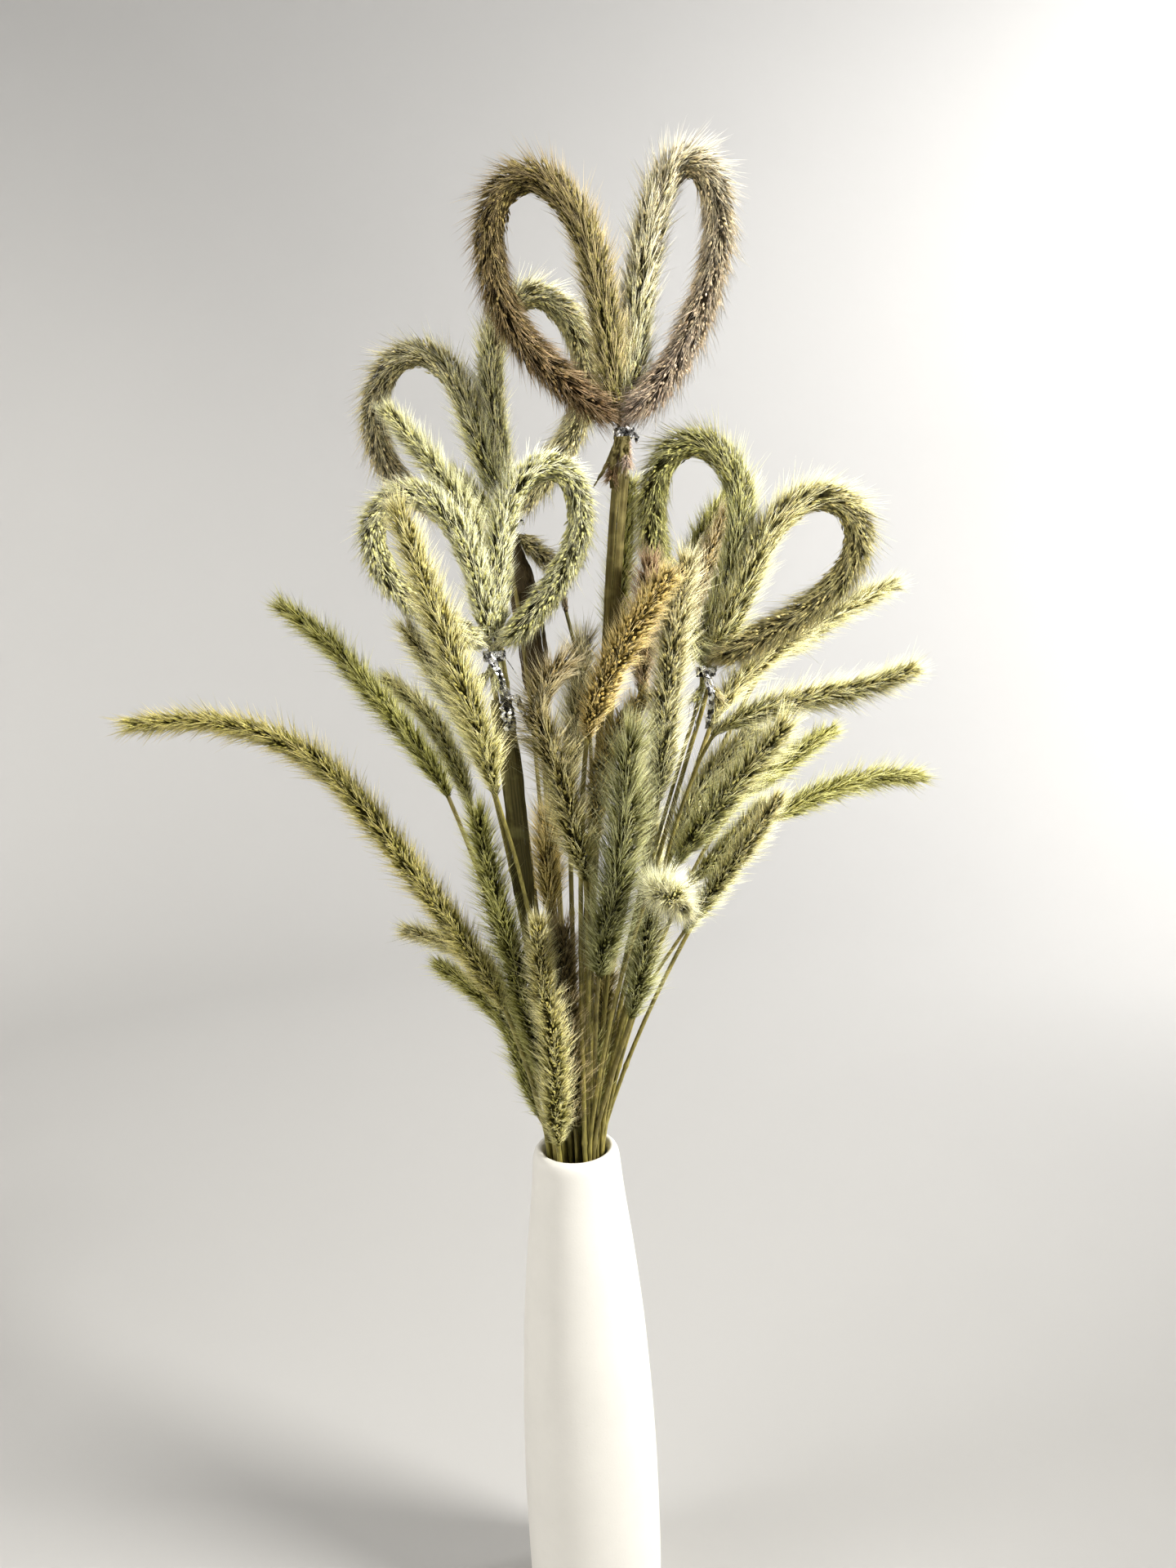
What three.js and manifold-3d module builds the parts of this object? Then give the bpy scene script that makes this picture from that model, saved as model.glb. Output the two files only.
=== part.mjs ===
// Dried foxtail grass in a slim ceramic vase: 46 stalks, eight of them tied into four hearts.
// Millimetres, +Z up. The vase's axis is x = y = 0, its foot stands on z = 0 and the front is -Y.
import * as THREE from "three";
import Module from "manifold-3d";
import { mergeVertices } from "three/addons/utils/BufferGeometryUtils.js";

// Vase, as radius and height pairs from the middle of the foot, up the outside, over the lip and down inside.
const VASE_SIDES = 24;
const VASE_OUTSIDE = [
  [0, 0], [36, 0], [38.6, 2.4], [40.4, 26], [40.3, 95], [37.8, 164], [33.6, 218], [28.1, 265], [25.7, 288],
];
const VASE_LIP = [[25, 295.5], [23.4, 299], [21.4, 300], [19.4, 299], [18, 295.5]];
const VASE_INSIDE = [
  [18.6, 286], [22.4, 262], [27.6, 217], [31.8, 163], [34.2, 95], [34, 26], [29, 8], [0, 8],
];

// Room inside the vase for the rings of a stalk, from its foot to the mouth, and how fast it widens above.
const MOUTH_HEIGHT = 302;
const FREE_HEIGHT = 316;
const RINGS_IN_VASE = 4;
const ROOM_IN_VASE = [28, 28, 27.2, 17.2];
const LIP_FLARE = 1.2;

// Stems stand on the vase's floor. Below the mouth each has a foot, a low and a middle ring.
const FOOT_HEIGHT = 8.3;
const LOW_HEIGHT = 50;
const MIDDLE_HEIGHT = 170;
const LOW_SPREAD = 1.25;
const MIDDLE_SPREAD = 1.2;
const STEM_RADIUS = 1.1;
const STEM_STEP = 38;
const FINE = 16;

// Heads: a four-sided core, each of its faces raised into a bristle tuft that leans to the tip.
const SIDES = 4;
const HEAD_STEP = 11.5;
const CORE_SHARE = 0.5;
const HEAD_SWELL = 26;
const LOOP_SWELL = 34;
const TAIL_SWELL = 8;
const ROUND_FROM = 0.6;
const TIP_SHARE = 0.62;
const TUFT_LEAN = 8;
const TUFT_PAST_TIP = 3;
const TUFT_RAGGED = 0.14;
const TUFT_LEAST = 0.6;
const BEND_SHARE = 0.42;

// Clearance between pieces, and how they are bent clear of each other, mostly in depth.
const GAP = 0.45;
const PACK_SHARE = 0.4;
const ROUNDS = 90;
const GIVE = new THREE.Vector3(0.6, 1, 0.3);
const EASE = 0.2;
const PUSH_BOOST = 1.3;
const OWN_LINKS_APART = 5;

// Foil ties: a crumpled band round two stems and two head tips.
const TIE_HALF = 6;
const TIE_HEIGHT = 6;
const TIE_INNER = 4.3;
const TIE_OUTER = 5.1;
const TIE_SIDES = 12;
const TIE_CREASE = 0.9;
const STRAND_SIDE = 1.7;
const STRAND_DEPTH = 1.7;

// Dry leaf sheaths, folded round the front of two tied stems.
const LEAF_THICKNESS = 0.8;
const SHEATH_DEPTH = 3.1;
const SHEATH_ARC = 5;
const SHEATH_FROM = -1.08 * Math.PI;
const SHEATH_TURN = 1.16 * Math.PI;
const SHEATH_WAVE = 0.25;
const SHEATH_STEPS = 6;

const GREEN = 0x8f9655;
const PALE = 0xc3c391;
const GOLD = 0xb49a5c;
const BROWN = 0x84704f;
const TAN = 0xb0a072;
const DARK = 0x6c7440;
const FOIL = 0xc4c6c8;
const LEAF = 0x7f7547;
const CERAMIC = 0xe9e6df;

// Single stalks: where the stem passes the mouth, the bristles' reach, and the head from base to tip.
const STALKS = {
  left_stalk_1: {
    neck: [-14, -5], reach: 9.5, slimTip: 0.5, color: GOLD,
    head: [[-31, -24, 393], [-45, -28, 422], [-64, -34, 456], [-90, -42, 499], [-111, -48, 531],
      [-137, -54, 552], [-170, -60, 563], [-205, -64, 563]],
  },
  left_stalk_2: {
    neck: [-12, 2], reach: 9, color: DARK,
    head: [[-62, 10, 507], [-81, 16, 540], [-103, 22, 568], [-127, 28, 597], [-152, 34, 617]],
  },
  left_stalk_3: {
    neck: [-9, 7], reach: 8.5, color: GREEN,
    head: [[-51, 24, 499], [-62, 32, 530], [-77, 40, 555], [-98, 46, 572]],
  },
  left_stalk_4: {
    neck: [-8, -8], reach: 9.5, color: TAN, stem: [[-20, -44, 467]],
    head: [[-30, -58, 519], [-34, -66, 549], [-41, -70, 573], [-48, -74, 599], [-57, -78, 630],
      [-65, -82, 659]],
  },
  left_stalk_5: {
    neck: [-10, -3], reach: 9, color: GREEN,
    head: [[-35, -20, 521], [-44, -24, 550], [-55, -28, 573], [-72, -34, 603]],
  },
  left_stalk_6: {
    neck: [-12, -8], reach: 9.5, color: DARK,
    head: [[-17, -14, 349], [-21, -22, 384], [-27, -28, 416], [-34, -34, 451], [-42, -42, 508]],
  },
  left_stalk_7: {
    neck: [-14, 3], reach: 8, color: GREEN,
    head: [[-27, 6, 366], [-39, 8, 395], [-54, 12, 413], [-73, 16, 423], [-93, 20, 428]],
  },
  left_stalk_8: {
    neck: [-15, 7], reach: 8.5, color: DARK,
    head: [[-21, 10, 314], [-28, 16, 340], [-39, 24, 370], [-59, 34, 387], [-79, 44, 399]],
  },
  left_stalk_9: {
    neck: [-7, 12], reach: 7, color: GREEN, stem: [[-14, 32, 560]],
    head: [[-24, 32, 650], [-31, 32, 664], [-41, 33, 676], [-51, 34, 686]],
  },
  left_stalk_10: {
    neck: [-9, 10], reach: 9, color: PALE,
    head: [[-30, 10, 612], [-35, 8, 639], [-45, 6, 668], [-62, 3, 693], [-79, 0, 715]],
  },
  centre_stalk_1: {
    neck: [-9, -11], reach: 10, color: TAN,
    head: [[-9, -12, 308], [-8, -20, 341], [-9, -27, 379], [-14, -33, 413], [-15, -38, 448]],
  },
  centre_stalk_2: {
    neck: [1, -8], reach: 9, color: BROWN,
    head: [[1, -8, 315], [0, -13, 354], [-1, -17, 395], [-1, -21, 436]],
  },
  centre_stalk_3: {
    neck: [9, 5], reach: 8, color: GOLD,
    head: [[12, 7, 333], [16, 10, 371], [19, 13, 406]],
  },
  centre_stalk_4: {
    neck: [5, -4], reach: 8, color: DARK,
    head: [[5, -4, 306], [7, -3, 332], [11, -2, 362]],
  },
  centre_stalk_5: {
    neck: [8, -12], reach: 10, color: TAN,
    head: [[15, -40, 468], [9, -44, 499], [1, -48, 534], [-8, -50, 558], [-2, -50, 573], [8, -50, 583]],
  },
  centre_stalk_6: {
    neck: [4, 2], reach: 9, color: GREEN,
    head: [[8, 0, 515], [12, 2, 542], [15, 3, 564], [18, 4, 590]],
  },
  centre_stalk_7: {
    neck: [6, -14], reach: 11, color: GOLD,
    head: [[17, -48, 543], [26, -51, 570], [45, -53, 602], [61, -54, 624]],
  },
  centre_stalk_8: {
    neck: [9, -6], reach: 8.5, color: GOLD,
    head: [[19, -24, 486], [23, -26, 522], [34, -27, 547], [49, -26, 563]],
  },
  centre_stalk_9: {
    neck: [12, -10], reach: 11, color: GREEN,
    head: [[17, -34, 413], [25, -42, 452], [34, -48, 497], [36, -52, 527], [40, -54, 546]],
  },
  centre_stalk_10: {
    neck: [13, -3], reach: 10, color: PALE,
    head: [[46, 12, 429], [52, 16, 461], [49, 18, 494], [45, 20, 522]],
  },
  centre_stalk_11: {
    neck: [12, -7], reach: 11, color: PALE,
    head: [[55, -34, 508], [58, -38, 545], [61, -42, 578], [66, -44, 609], [71, -46, 630]],
  },
  centre_stalk_12: {
    neck: [9, 13], reach: 9, color: TAN,
    head: [[67, 38, 557], [76, 44, 594], [87, 50, 622], [103, 58, 657]],
  },
  centre_stalk_13: {
    neck: [6, 15], reach: 9, color: DARK,
    head: [[72, 62, 598], [83, 68, 631], [94, 72, 652], [106, 76, 669]],
  },
  centre_stalk_14: {
    neck: [9, 1], reach: 7.5, color: BROWN,
    head: [[48, -2, 562], [51, 0, 588], [54, 2, 607], [57, 4, 630]],
  },
  centre_stalk_15: {
    neck: [3, 14], reach: 9.5, color: DARK,
    head: [[34, 30, 578], [38, 33, 610], [43, 36, 645], [48, 38, 675]],
  },
  centre_stalk_16: {
    neck: [0, 4], reach: 2.6, color: BROWN,
    stem: [[19, -2, 540], [13, -4, 590]],
    head: [[9, -6, 607], [8, -6, 619]],
  },
  centre_stalk_17: {
    neck: [-5, 4], reach: 7.5, color: GOLD,
    head: [[-8, 8, 437], [-8, 10, 466], [-8, 11, 492]],
  },
  right_stalk_1: {
    neck: [13, 10], reach: 9, color: GREEN,
    head: [[124, 56, 568], [150, 66, 585], [180, 78, 602], [210, 88, 613]],
  },
  right_stalk_2: {
    neck: [12, 6], reach: 9, color: GREEN,
    head: [[85, 26, 537], [96, 32, 554], [119, 40, 574], [147, 48, 590]],
  },
  right_stalk_3: {
    neck: [14, 0], reach: 9, color: GREEN, stem: [[65, -10, 494]],
    head: [[84, -14, 538], [105, -20, 550], [132, -26, 557], [160, -34, 562], [184, -42, 571]],
  },
  right_stalk_4: {
    neck: [14, -5], reach: 11, color: GREEN,
    head: [[61, -30, 471], [72, -36, 490], [92, -46, 517], [116, -58, 548]],
  },
  right_stalk_5: {
    neck: [14, 3], reach: 10, color: PALE,
    head: [[59, -2, 470], [71, -2, 497], [89, 0, 521], [110, 2, 539]],
  },
  right_stalk_6: {
    neck: [12, 8], reach: 8, color: DARK, stem: [[92, 32, 480]],
    head: [[108, 38, 494], [131, 46, 510], [149, 52, 522], [165, 58, 529]],
  },
  right_stalk_7: {
    neck: [15, 2], reach: 8.5, color: DARK, stem: [[89, 14, 453]],
    head: [[116, 20, 481], [136, 26, 491], [164, 32, 500], [189, 38, 503], [213, 44, 501]],
  },
  right_stalk_8: {
    neck: [16, -6], reach: 8, color: GREEN, stem: [[33, -12, 377]],
    head: [[64, -28, 434], [78, -36, 457], [97, -46, 485], [112, -56, 510]],
  },
  right_stalk_9: {
    neck: [16, -2], reach: 8, color: GREEN,
    head: [[69, -10, 455], [82, -14, 468], [97, -18, 485], [110, -22, 501]],
  },
  right_stalk_10: {
    neck: [10, -13], reach: 10.5, color: PALE, stem: [[30, -28, 410], [42, -40, 448]],
    head: [[46, -50, 463], [50, -64, 468], [55, -80, 469], [59, -94, 467]],
  },
  right_stalk_11: {
    neck: [11, -11], reach: 9, color: GREEN,
    head: [[35, -16, 383], [41, -20, 408], [46, -22, 432], [50, -22, 460]],
  },
};

// Hearts: where the pair of stems passes the mouth, its tie, each loop from its base round to its tip,
// and how far each head's end sticks out below the tie.
const HEARTS = {
  heart1: {
    neck: [6, 9],
    stem: [[18, 8, 470], [29, 5, 557], [35, 2, 620], [40, 0, 665]],
    tie: [43.5, 0, 698],
    tails: [{ step: [-6, -5, -24], reach: 3.5 }, { step: [-1, -6, -17], reach: 3.5 }],
    left: {
      reach: 13, color: BROWN,
      loop: [[39, 0, 724], [37, -2, 751], [32, -3, 783], [22, -1, 812], [4, 2, 828], [-14, 4, 823],
        [-22, 5, 805], [-21, 5, 782], [-14, 4, 758], [2, 1, 737], [24, -2, 716]],
    },
    right: {
      reach: 13, color: GREEN,
      loop: [[49.5, 3, 726], [52, 5, 752], [57, 5, 780], [63, 5, 806], [72, 4, 829], [84, 3, 833],
        [94, 2, 823], [97, 1, 800], [92, 0, 774], [83, -1, 752], [66, -3, 724]],
    },
  },
  heart2: {
    neck: [-4, 9],
    stem: [[-5, 26, 470], [-8, 34, 546], [-14, 41, 610]],
    tie: [-22, 46, 658],
    tails: [{ step: [-5, -5, -15], reach: 3.5 }, { step: [22, -6, -24], reach: 8 }],
    left: {
      reach: 12, color: GREEN,
      loop: [[-29, 46, 684], [-38, 46, 710], [-47, 47, 740], [-63, 48, 754], [-81, 49, 751], [-93, 50, 734],
        [-96, 51, 712], [-88, 51, 689], [-68, 50, 671], [-44, 47, 663]],
    },
    right: {
      reach: 12, color: GREEN,
      loop: [[-25, 49, 690], [-28, 51, 722], [-27, 52, 753], [-18, 53, 777], [-1, 53, 784], [16, 53, 773],
        [26, 53, 750], [25, 52, 722], [11, 50, 698], [-7, 48, 676]],
    },
  },
  heart3: {
    neck: [-5, -6],
    stem: [[-18, -20, 427], [-21, -28, 475], [-23, -35, 530]],
    tie: [-28, -39, 587],
    tails: [{ step: [-7, -4, -14], reach: 4.5 }, { step: [-1, -6, -16], reach: 3.5 }],
    left: {
      reach: 11, color: PALE,
      loop: [[-31, -40, 612], [-35, -42, 634], [-43, -44, 654], [-57, -45, 668], [-71, -46, 669],
        [-83, -46, 658], [-85, -45, 642], [-77, -43, 626], [-61, -41, 611], [-42, -40, 598]],
    },
    right: {
      reach: 11, color: PALE,
      loop: [[-26, -36, 613], [-24, -34, 634], [-20, -34, 656], [-10, -35, 675], [6, -36, 681],
        [18, -37, 671], [20, -38, 651], [12, -40, 631], [-2, -41, 613], [-15, -41, 599]],
    },
  },
  heart4: {
    neck: [11, 3],
    stem: [[46, 7, 445], [60, 7, 490], [72, 7, 527]],
    tie: [84, 6, 571],
    tails: [{ step: [-5, -5, -14], reach: 3.5 }, { step: [4, -6, -15], reach: 3.5 }],
    left: {
      reach: 12.5, color: GREEN,
      loop: [[90, 9, 598], [99, 9, 624], [106, 8, 650], [105, 8, 672], [95, 8, 689], [80, 8, 695],
        [65, 8, 687], [58, 8, 668], [57, 8, 645], [63, 8, 620], [72, 7, 596]],
    },
    right: {
      reach: 12.5, color: GREEN,
      loop: [[97, 2, 598], [108, 0, 624], [120, -1, 648], [137, -2, 662], [154, -2, 662], [167, -2, 649],
        [166, -1, 629], [153, 0, 612], [132, 1, 598], [108, 2, 586]],
    },
  },
};

// Sheaths: their heart, half width, and the heights where they start and end.
const SHEATHS = {
  heart1_sheath: { heart: "heart1", halfWidth: 4.3, top: 678, bottom: 520 },
  heart2_sheath: { heart: "heart2", halfWidth: 5.6, top: 636, bottom: 560 },
  heart3_sheath: { heart: "heart3", halfWidth: 5.4, top: 566, bottom: 450 },
};

// Foil that hangs from a tie, as steps from the tie's middle.
const FOIL_TAILS = {
  heart3: [[1, -5.2, 0], [4, -7.5, -11], [8, -8, -22], [12, -7.5, -32], [15, -6, -42]],
  heart4: [[0, -5.2, 0], [-1, -8, -9], [-3, -8.5, -18], [-4, -8, -27]],
};
const FOIL_TAIL_WIDTH = 6;
const FOIL_THICKNESS = 1;

const wasm = await Module();
wasm.setup();

// A seeded draw between 0 and 1.
function seeded(seed) {
  let state = seed;
  return () => {
    state = (state * 1664525 + 1013904223) % 4294967296;
    return state / 4294967296;
  };
}

const point = (place) => new THREE.Vector3(...place);
const clamp01 = (value) => Math.min(1, Math.max(0, value));
const smooth = (value) => clamp01(value) * clamp01(value) * (3 - 2 * clamp01(value));

// Points spaced evenly, no further apart than step, along the curve between two of its control points.
function spaced(curve, controls, from, to, step) {
  const dense = [];
  for (let i = from * FINE; i <= to * FINE; i += 1) {
    dense.push(curve.getPoint(i / ((controls - 1) * FINE)));
  }
  const along = [0];
  for (let i = 1; i < dense.length; i += 1) {
    along.push(along[i - 1] + dense[i].distanceTo(dense[i - 1]));
  }
  const length = along[along.length - 1];
  const count = Math.max(1, Math.round(length / step + 0.25));
  const places = [];
  let at = 1;
  for (let k = 1; k <= count; k += 1) {
    const target = (length * k) / count;
    while (at < along.length - 1 && along[at] < target) {
      at += 1;
    }
    const share = (target - along[at - 1]) / (along[at] - along[at - 1]);
    places.push(dense[at - 1].clone().lerp(dense[at], clamp01(share)));
  }
  return places;
}

// The parts of a route inside the vase, from its place at the mouth.
function routeInVase([x, y]) {
  return [
    [x * LOW_SPREAD, y * LOW_SPREAD, FOOT_HEIGHT],
    [x * LOW_SPREAD, y * LOW_SPREAD, LOW_HEIGHT],
    [x * MIDDLE_SPREAD, y * MIDDLE_SPREAD, MIDDLE_HEIGHT],
    [x, y, MOUTH_HEIGHT],
  ];
}

// A ring of a stalk: its middle, the core's radius and how far the bristles reach.
function ring(place, core, reach) {
  return { place, start: place.clone(), push: new THREE.Vector3(), hits: 0, core, reach, room: Infinity };
}

// Rings along a route. Each leg runs to a control point, in steps, with or without bristles.
function ringsAlong(route, legs, widthAt) {
  const curve = new THREE.CatmullRomCurve3(route.map(point), false, "centripetal");
  const rings = [ring(point(route[0]), STEM_RADIUS, STEM_RADIUS)];
  let from = 0;
  for (const leg of legs) {
    const places = spaced(curve, route.length, from, leg.to, leg.step);
    for (const place of places) {
      const placed = ring(place, STEM_RADIUS, STEM_RADIUS);
      placed.inHead = leg.inHead;
      rings.push(placed);
    }
    from = leg.to;
  }
  const firstInHead = rings.findIndex((one) => one.inHead) - 1;
  rings[firstInHead].inHead = true;
  let along = 0;
  rings[firstInHead].along = 0;
  for (let i = firstInHead + 1; i < rings.length; i += 1) {
    along += rings[i].place.distanceTo(rings[i - 1].place);
    rings[i].along = along;
  }
  for (let i = firstInHead; i < rings.length; i += 1) {
    const reach = widthAt(rings[i].along, along);
    rings[i].reach = reach;
    rings[i].core = Math.max(STEM_RADIUS, reach * CORE_SHARE);
  }
  return { rings, firstInHead };
}

// A single stalk: its head swells over the base and rounds off at the tip.
function singleStalk(name, { neck, stem = [], head, reach, slimTip = TIP_SHARE }) {
  const route = [...routeInVase(neck), ...stem, ...head];
  const headBase = route.length - head.length;
  const legs = [
    { to: 1, step: 100 },
    { to: 2, step: 200 },
    { to: 3, step: 200 },
    { to: headBase, step: STEM_STEP },
    { to: route.length - 1, step: HEAD_STEP, inHead: true },
  ];
  const widthAt = (along, length) => {
    const swell = smooth(along / Math.min(HEAD_SWELL, length / 3));
    const round = 1 - (1 - slimTip) * smooth((along / length - ROUND_FROM) / (1 - ROUND_FROM));
    return STEM_RADIUS + (reach - STEM_RADIUS) * swell * round;
  };
  return { name, family: name, pinned: false, ...ringsAlong(route, legs, widthAt) };
}

// One loop of a heart: up through the tie, round, back through the tie and out as a short tail.
function loopStalk(name, family, heart, half, side, tail) {
  const [x, y, z] = heart.tie;
  const stemSide = side * STRAND_SIDE;
  const shifted = ([px, py, pz]) => [px + stemSide, py + STRAND_DEPTH, pz];
  const front = y - STRAND_DEPTH;
  const route = [
    ...routeInVase([heart.neck[0] + stemSide, heart.neck[1] + STRAND_DEPTH]),
    ...heart.stem.map(shifted),
    shifted([x, y, z - TIE_HALF]),
    shifted([x, y, z + TIE_HALF]),
    ...half.loop,
    [x + stemSide, front, z + TIE_HALF],
    [x + stemSide, front, z - TIE_HALF],
    [x + stemSide + tail.step[0] / 2, front + tail.step[1] / 2, z - TIE_HALF + tail.step[2] * 0.3],
    [x + stemSide + tail.step[0], front + tail.step[1], z + tail.step[2]],
  ];
  const top = RINGS_IN_VASE + heart.stem.length + 1;
  const legs = [
    { to: 1, step: 100 },
    { to: 2, step: 200 },
    { to: 3, step: 200 },
    { to: top - 1, step: STEM_STEP },
    { to: top, step: 100 },
    { to: top + half.loop.length + 1, step: HEAD_STEP, inHead: true },
    { to: top + half.loop.length + 2, step: 100, inHead: true },
    { to: top + half.loop.length + 4, step: 9, inHead: true },
  ];
  const tailLength = Math.hypot(...tail.step) + TIE_HALF + 1;
  const widthAt = (along, length) => {
    const looped = length - tailLength;
    const swell = smooth(along / LOOP_SWELL) * smooth((looped - along) / LOOP_SWELL);
    const tailSwell = smooth((along - looped - 2 * TIE_HALF) / TAIL_SWELL);
    return STEM_RADIUS + (half.reach - STEM_RADIUS) * swell + (tail.reach - STEM_RADIUS) * tailSwell;
  };
  return { name, family, pinned: true, ...ringsAlong(route, legs, widthAt) };
}

// The stretch of a heart's pair of stems that a sheath folds round, as rings on the pair's middle.
function sheathRings({ heart, halfWidth, top, bottom }) {
  const { neck, stem, tie } = HEARTS[heart];
  const middle = [[...neck, MOUTH_HEIGHT], ...stem, [tie[0], tie[1], tie[2] - TIE_HALF], tie];
  const curve = new THREE.CatmullRomCurve3(middle.map(point), false, "centripetal");
  const fine = curve.getPoints(400).filter(({ z }) => z >= bottom && z <= top);
  const rings = [];
  for (let i = 0; i <= SHEATH_STEPS; i += 1) {
    const place = fine[Math.round(((fine.length - 1) * i) / SHEATH_STEPS)].clone();
    place.y += STRAND_DEPTH;
    rings.push(ring(place, halfWidth, halfWidth));
  }
  return rings;
}

// Nearest places on two straight links, and the step from the second to the first.
function nearestOn(first, second) {
  const a = first.to.place.clone().sub(first.from.place);
  const b = second.to.place.clone().sub(second.from.place);
  const w = first.from.place.clone().sub(second.from.place);
  const aa = a.dot(a);
  const bb = b.dot(b);
  const ab = a.dot(b);
  const aw = a.dot(w);
  const bw = b.dot(w);
  const spread = aa * bb - ab * ab;
  let u = spread > 1e-6 ? clamp01((ab * bw - aw * bb) / spread) : 0.5;
  let v = (ab * u + bw) / bb;
  if (v < 0) {
    v = 0;
    u = clamp01(-aw / aa);
  } else if (v > 1) {
    v = 1;
    u = clamp01((ab - aw) / aa);
  }
  const step = w.addScaledVector(a, u).addScaledVector(b, -v);
  return { u, v, step };
}

function linksOf(stalks) {
  const links = [];
  for (const stalk of stalks) {
    for (let i = 1; i < stalk.rings.length; i += 1) {
      const from = stalk.rings[i - 1];
      const to = stalk.rings[i];
      const middle = from.place.clone().add(to.place).multiplyScalar(0.5);
      const core = Math.max(from.core, to.core);
      const reach = Math.max(from.reach, to.reach);
      const half = from.place.distanceTo(to.place) / 2;
      links.push({ stalk, at: i, from, to, middle, core, reach, half });
    }
  }
  return links;
}

// Calls visit for each two links whose reaches may meet.
function visitNear(links, visit) {
  for (let i = 0; i < links.length; i += 1) {
    const a = links[i];
    for (let j = i + 1; j < links.length; j += 1) {
      const b = links[j];
      const far = a.half + b.half + a.reach + b.reach + GAP;
      if (Math.abs(a.middle.z - b.middle.z) < far && a.middle.distanceToSquared(b.middle) < far * far) {
        visit(a, b);
      }
    }
  }
}

const packed = (link) => link.core + PACK_SHARE * (link.reach - link.core);

function pushApart(a, b) {
  if (a.stalk.family === b.stalk.family || (a.stalk.pinned && b.stalk.pinned)) {
    return;
  }
  const { u, v, step } = nearestOn(a, b);
  const distance = Math.max(step.length(), 1e-6);
  const short = packed(a) + packed(b) + 2 * GAP - distance;
  if (short <= 0) {
    return;
  }
  const share = a.stalk.pinned || b.stalk.pinned ? 1 : 0.5;
  step.multiplyScalar((short * share) / distance).multiply(GIVE);
  const shares = [[a, a.from, 1 - u, 1], [a, a.to, u, 1], [b, b.from, 1 - v, -1], [b, b.to, v, -1]];
  for (const [link, end, weight, sign] of shares) {
    if (!link.stalk.pinned && weight > 0.05) {
      end.push.addScaledVector(step, sign);
      end.hits += 1;
    }
  }
}

// Moves the rings by their mean push, eased along the stalk, and keeps the lower ones inside the vase.
function moveRings(stalk) {
  const moved = stalk.rings.map((one, i) => {
    const shift = one.place.clone().sub(one.start);
    if (one.hits > 0) {
      one.push.multiplyScalar(PUSH_BOOST / one.hits);
      one.push.z *= i < RINGS_IN_VASE ? 0 : 1;
      shift.add(one.push);
    }
    one.push.set(0, 0, 0);
    one.hits = 0;
    return shift;
  });
  stalk.rings.forEach((one, i) => {
    const before = moved[Math.max(0, i - 1)];
    const after = moved[Math.min(moved.length - 1, i + 1)];
    const eased = moved[i].clone().multiplyScalar(1 - 2 * EASE).addScaledVector(before, EASE);
    eased.addScaledVector(after, EASE);
    eased.z *= i < RINGS_IN_VASE ? 0 : 1;
    one.place.copy(one.start).add(eased);
    const out = Math.hypot(one.place.x, one.place.y);
    const room = i < RINGS_IN_VASE ? ROOM_IN_VASE[i] - one.core : Infinity;
    if (out > room) {
      one.place.x *= room / out;
      one.place.y *= room / out;
    }
  });
  stalk.rings[0].place.x = stalk.rings[1].place.x;
  stalk.rings[0].place.y = stalk.rings[1].place.y;
}

// Bends every stalk that is not tied clear of the others, round by round.
function bendClear(stalks) {
  for (let round = 0; round < ROUNDS; round += 1) {
    visitNear(linksOf(stalks), pushApart);
    stalks.filter((stalk) => !stalk.pinned).forEach(moveRings);
  }
}

// How far the bristles may reach at each ring before they would touch a neighbour.
function shareRoom(a, b) {
  const sameStalk = a.stalk === b.stalk;
  if (sameStalk && (Math.abs(a.at - b.at) < OWN_LINKS_APART || a.at <= a.stalk.firstInHead)) {
    return;
  }
  if (a.stalk.family === b.stalk.family && (a.stalk.isSheath || b.stalk.isSheath)) {
    return;
  }
  const distance = nearestOn(a, b).step.length();
  const spare = distance - a.core - b.core - GAP;
  const bristleA = a.reach - a.core;
  const bristleB = b.reach - b.core;
  if (spare >= bristleA + bristleB) {
    return;
  }
  for (const [link, own, other] of [[a, bristleA, bristleB], [b, bristleB, bristleA]]) {
    const coreShare = link.core / (a.core + b.core);
    const share = spare < 0 || own + other < 0.01 ? coreShare : own / (own + other);
    const room = link.core + spare * (spare < 0 || own > 0 ? share : 0);
    link.from.room = Math.min(link.from.room, room);
    link.to.room = Math.min(link.to.room, room);
  }
}

function measureRoom(stalks) {
  visitNear(linksOf(stalks), shareRoom);
  for (const stalk of stalks) {
    for (const one of stalk.rings) {
      const { x, y, z } = one.place;
      const above = Math.max(0, z - MOUTH_HEIGHT);
      const atLip = ROOM_IN_VASE[3] - Math.hypot(x, y) + above * LIP_FLARE;
      if (z < FREE_HEIGHT) {
        one.room = Math.min(one.room, Math.max(atLip, STEM_RADIUS));
      }
      one.core = Math.min(one.core, one.room);
    }
  }
}

// Turns the rings into frames that do not twist: along, side and across.
function framesOf(rings) {
  const frames = [];
  let side = new THREE.Vector3(1, 0, 0);
  for (let i = 0; i < rings.length; i += 1) {
    const before = rings[Math.max(0, i - 1)].place;
    const after = rings[Math.min(rings.length - 1, i + 1)].place;
    const along = after.clone().sub(before).normalize();
    side = side.clone().addScaledVector(along, -side.dot(along)).normalize();
    frames.push({ along, side, across: along.clone().cross(side) });
  }
  return frames;
}

// Direction out of the axis, turned about it by an angle.
function outward(frame, angle) {
  const out = frame.side.clone().multiplyScalar(Math.cos(angle));
  return out.addScaledVector(frame.across, Math.sin(angle));
}

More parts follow.
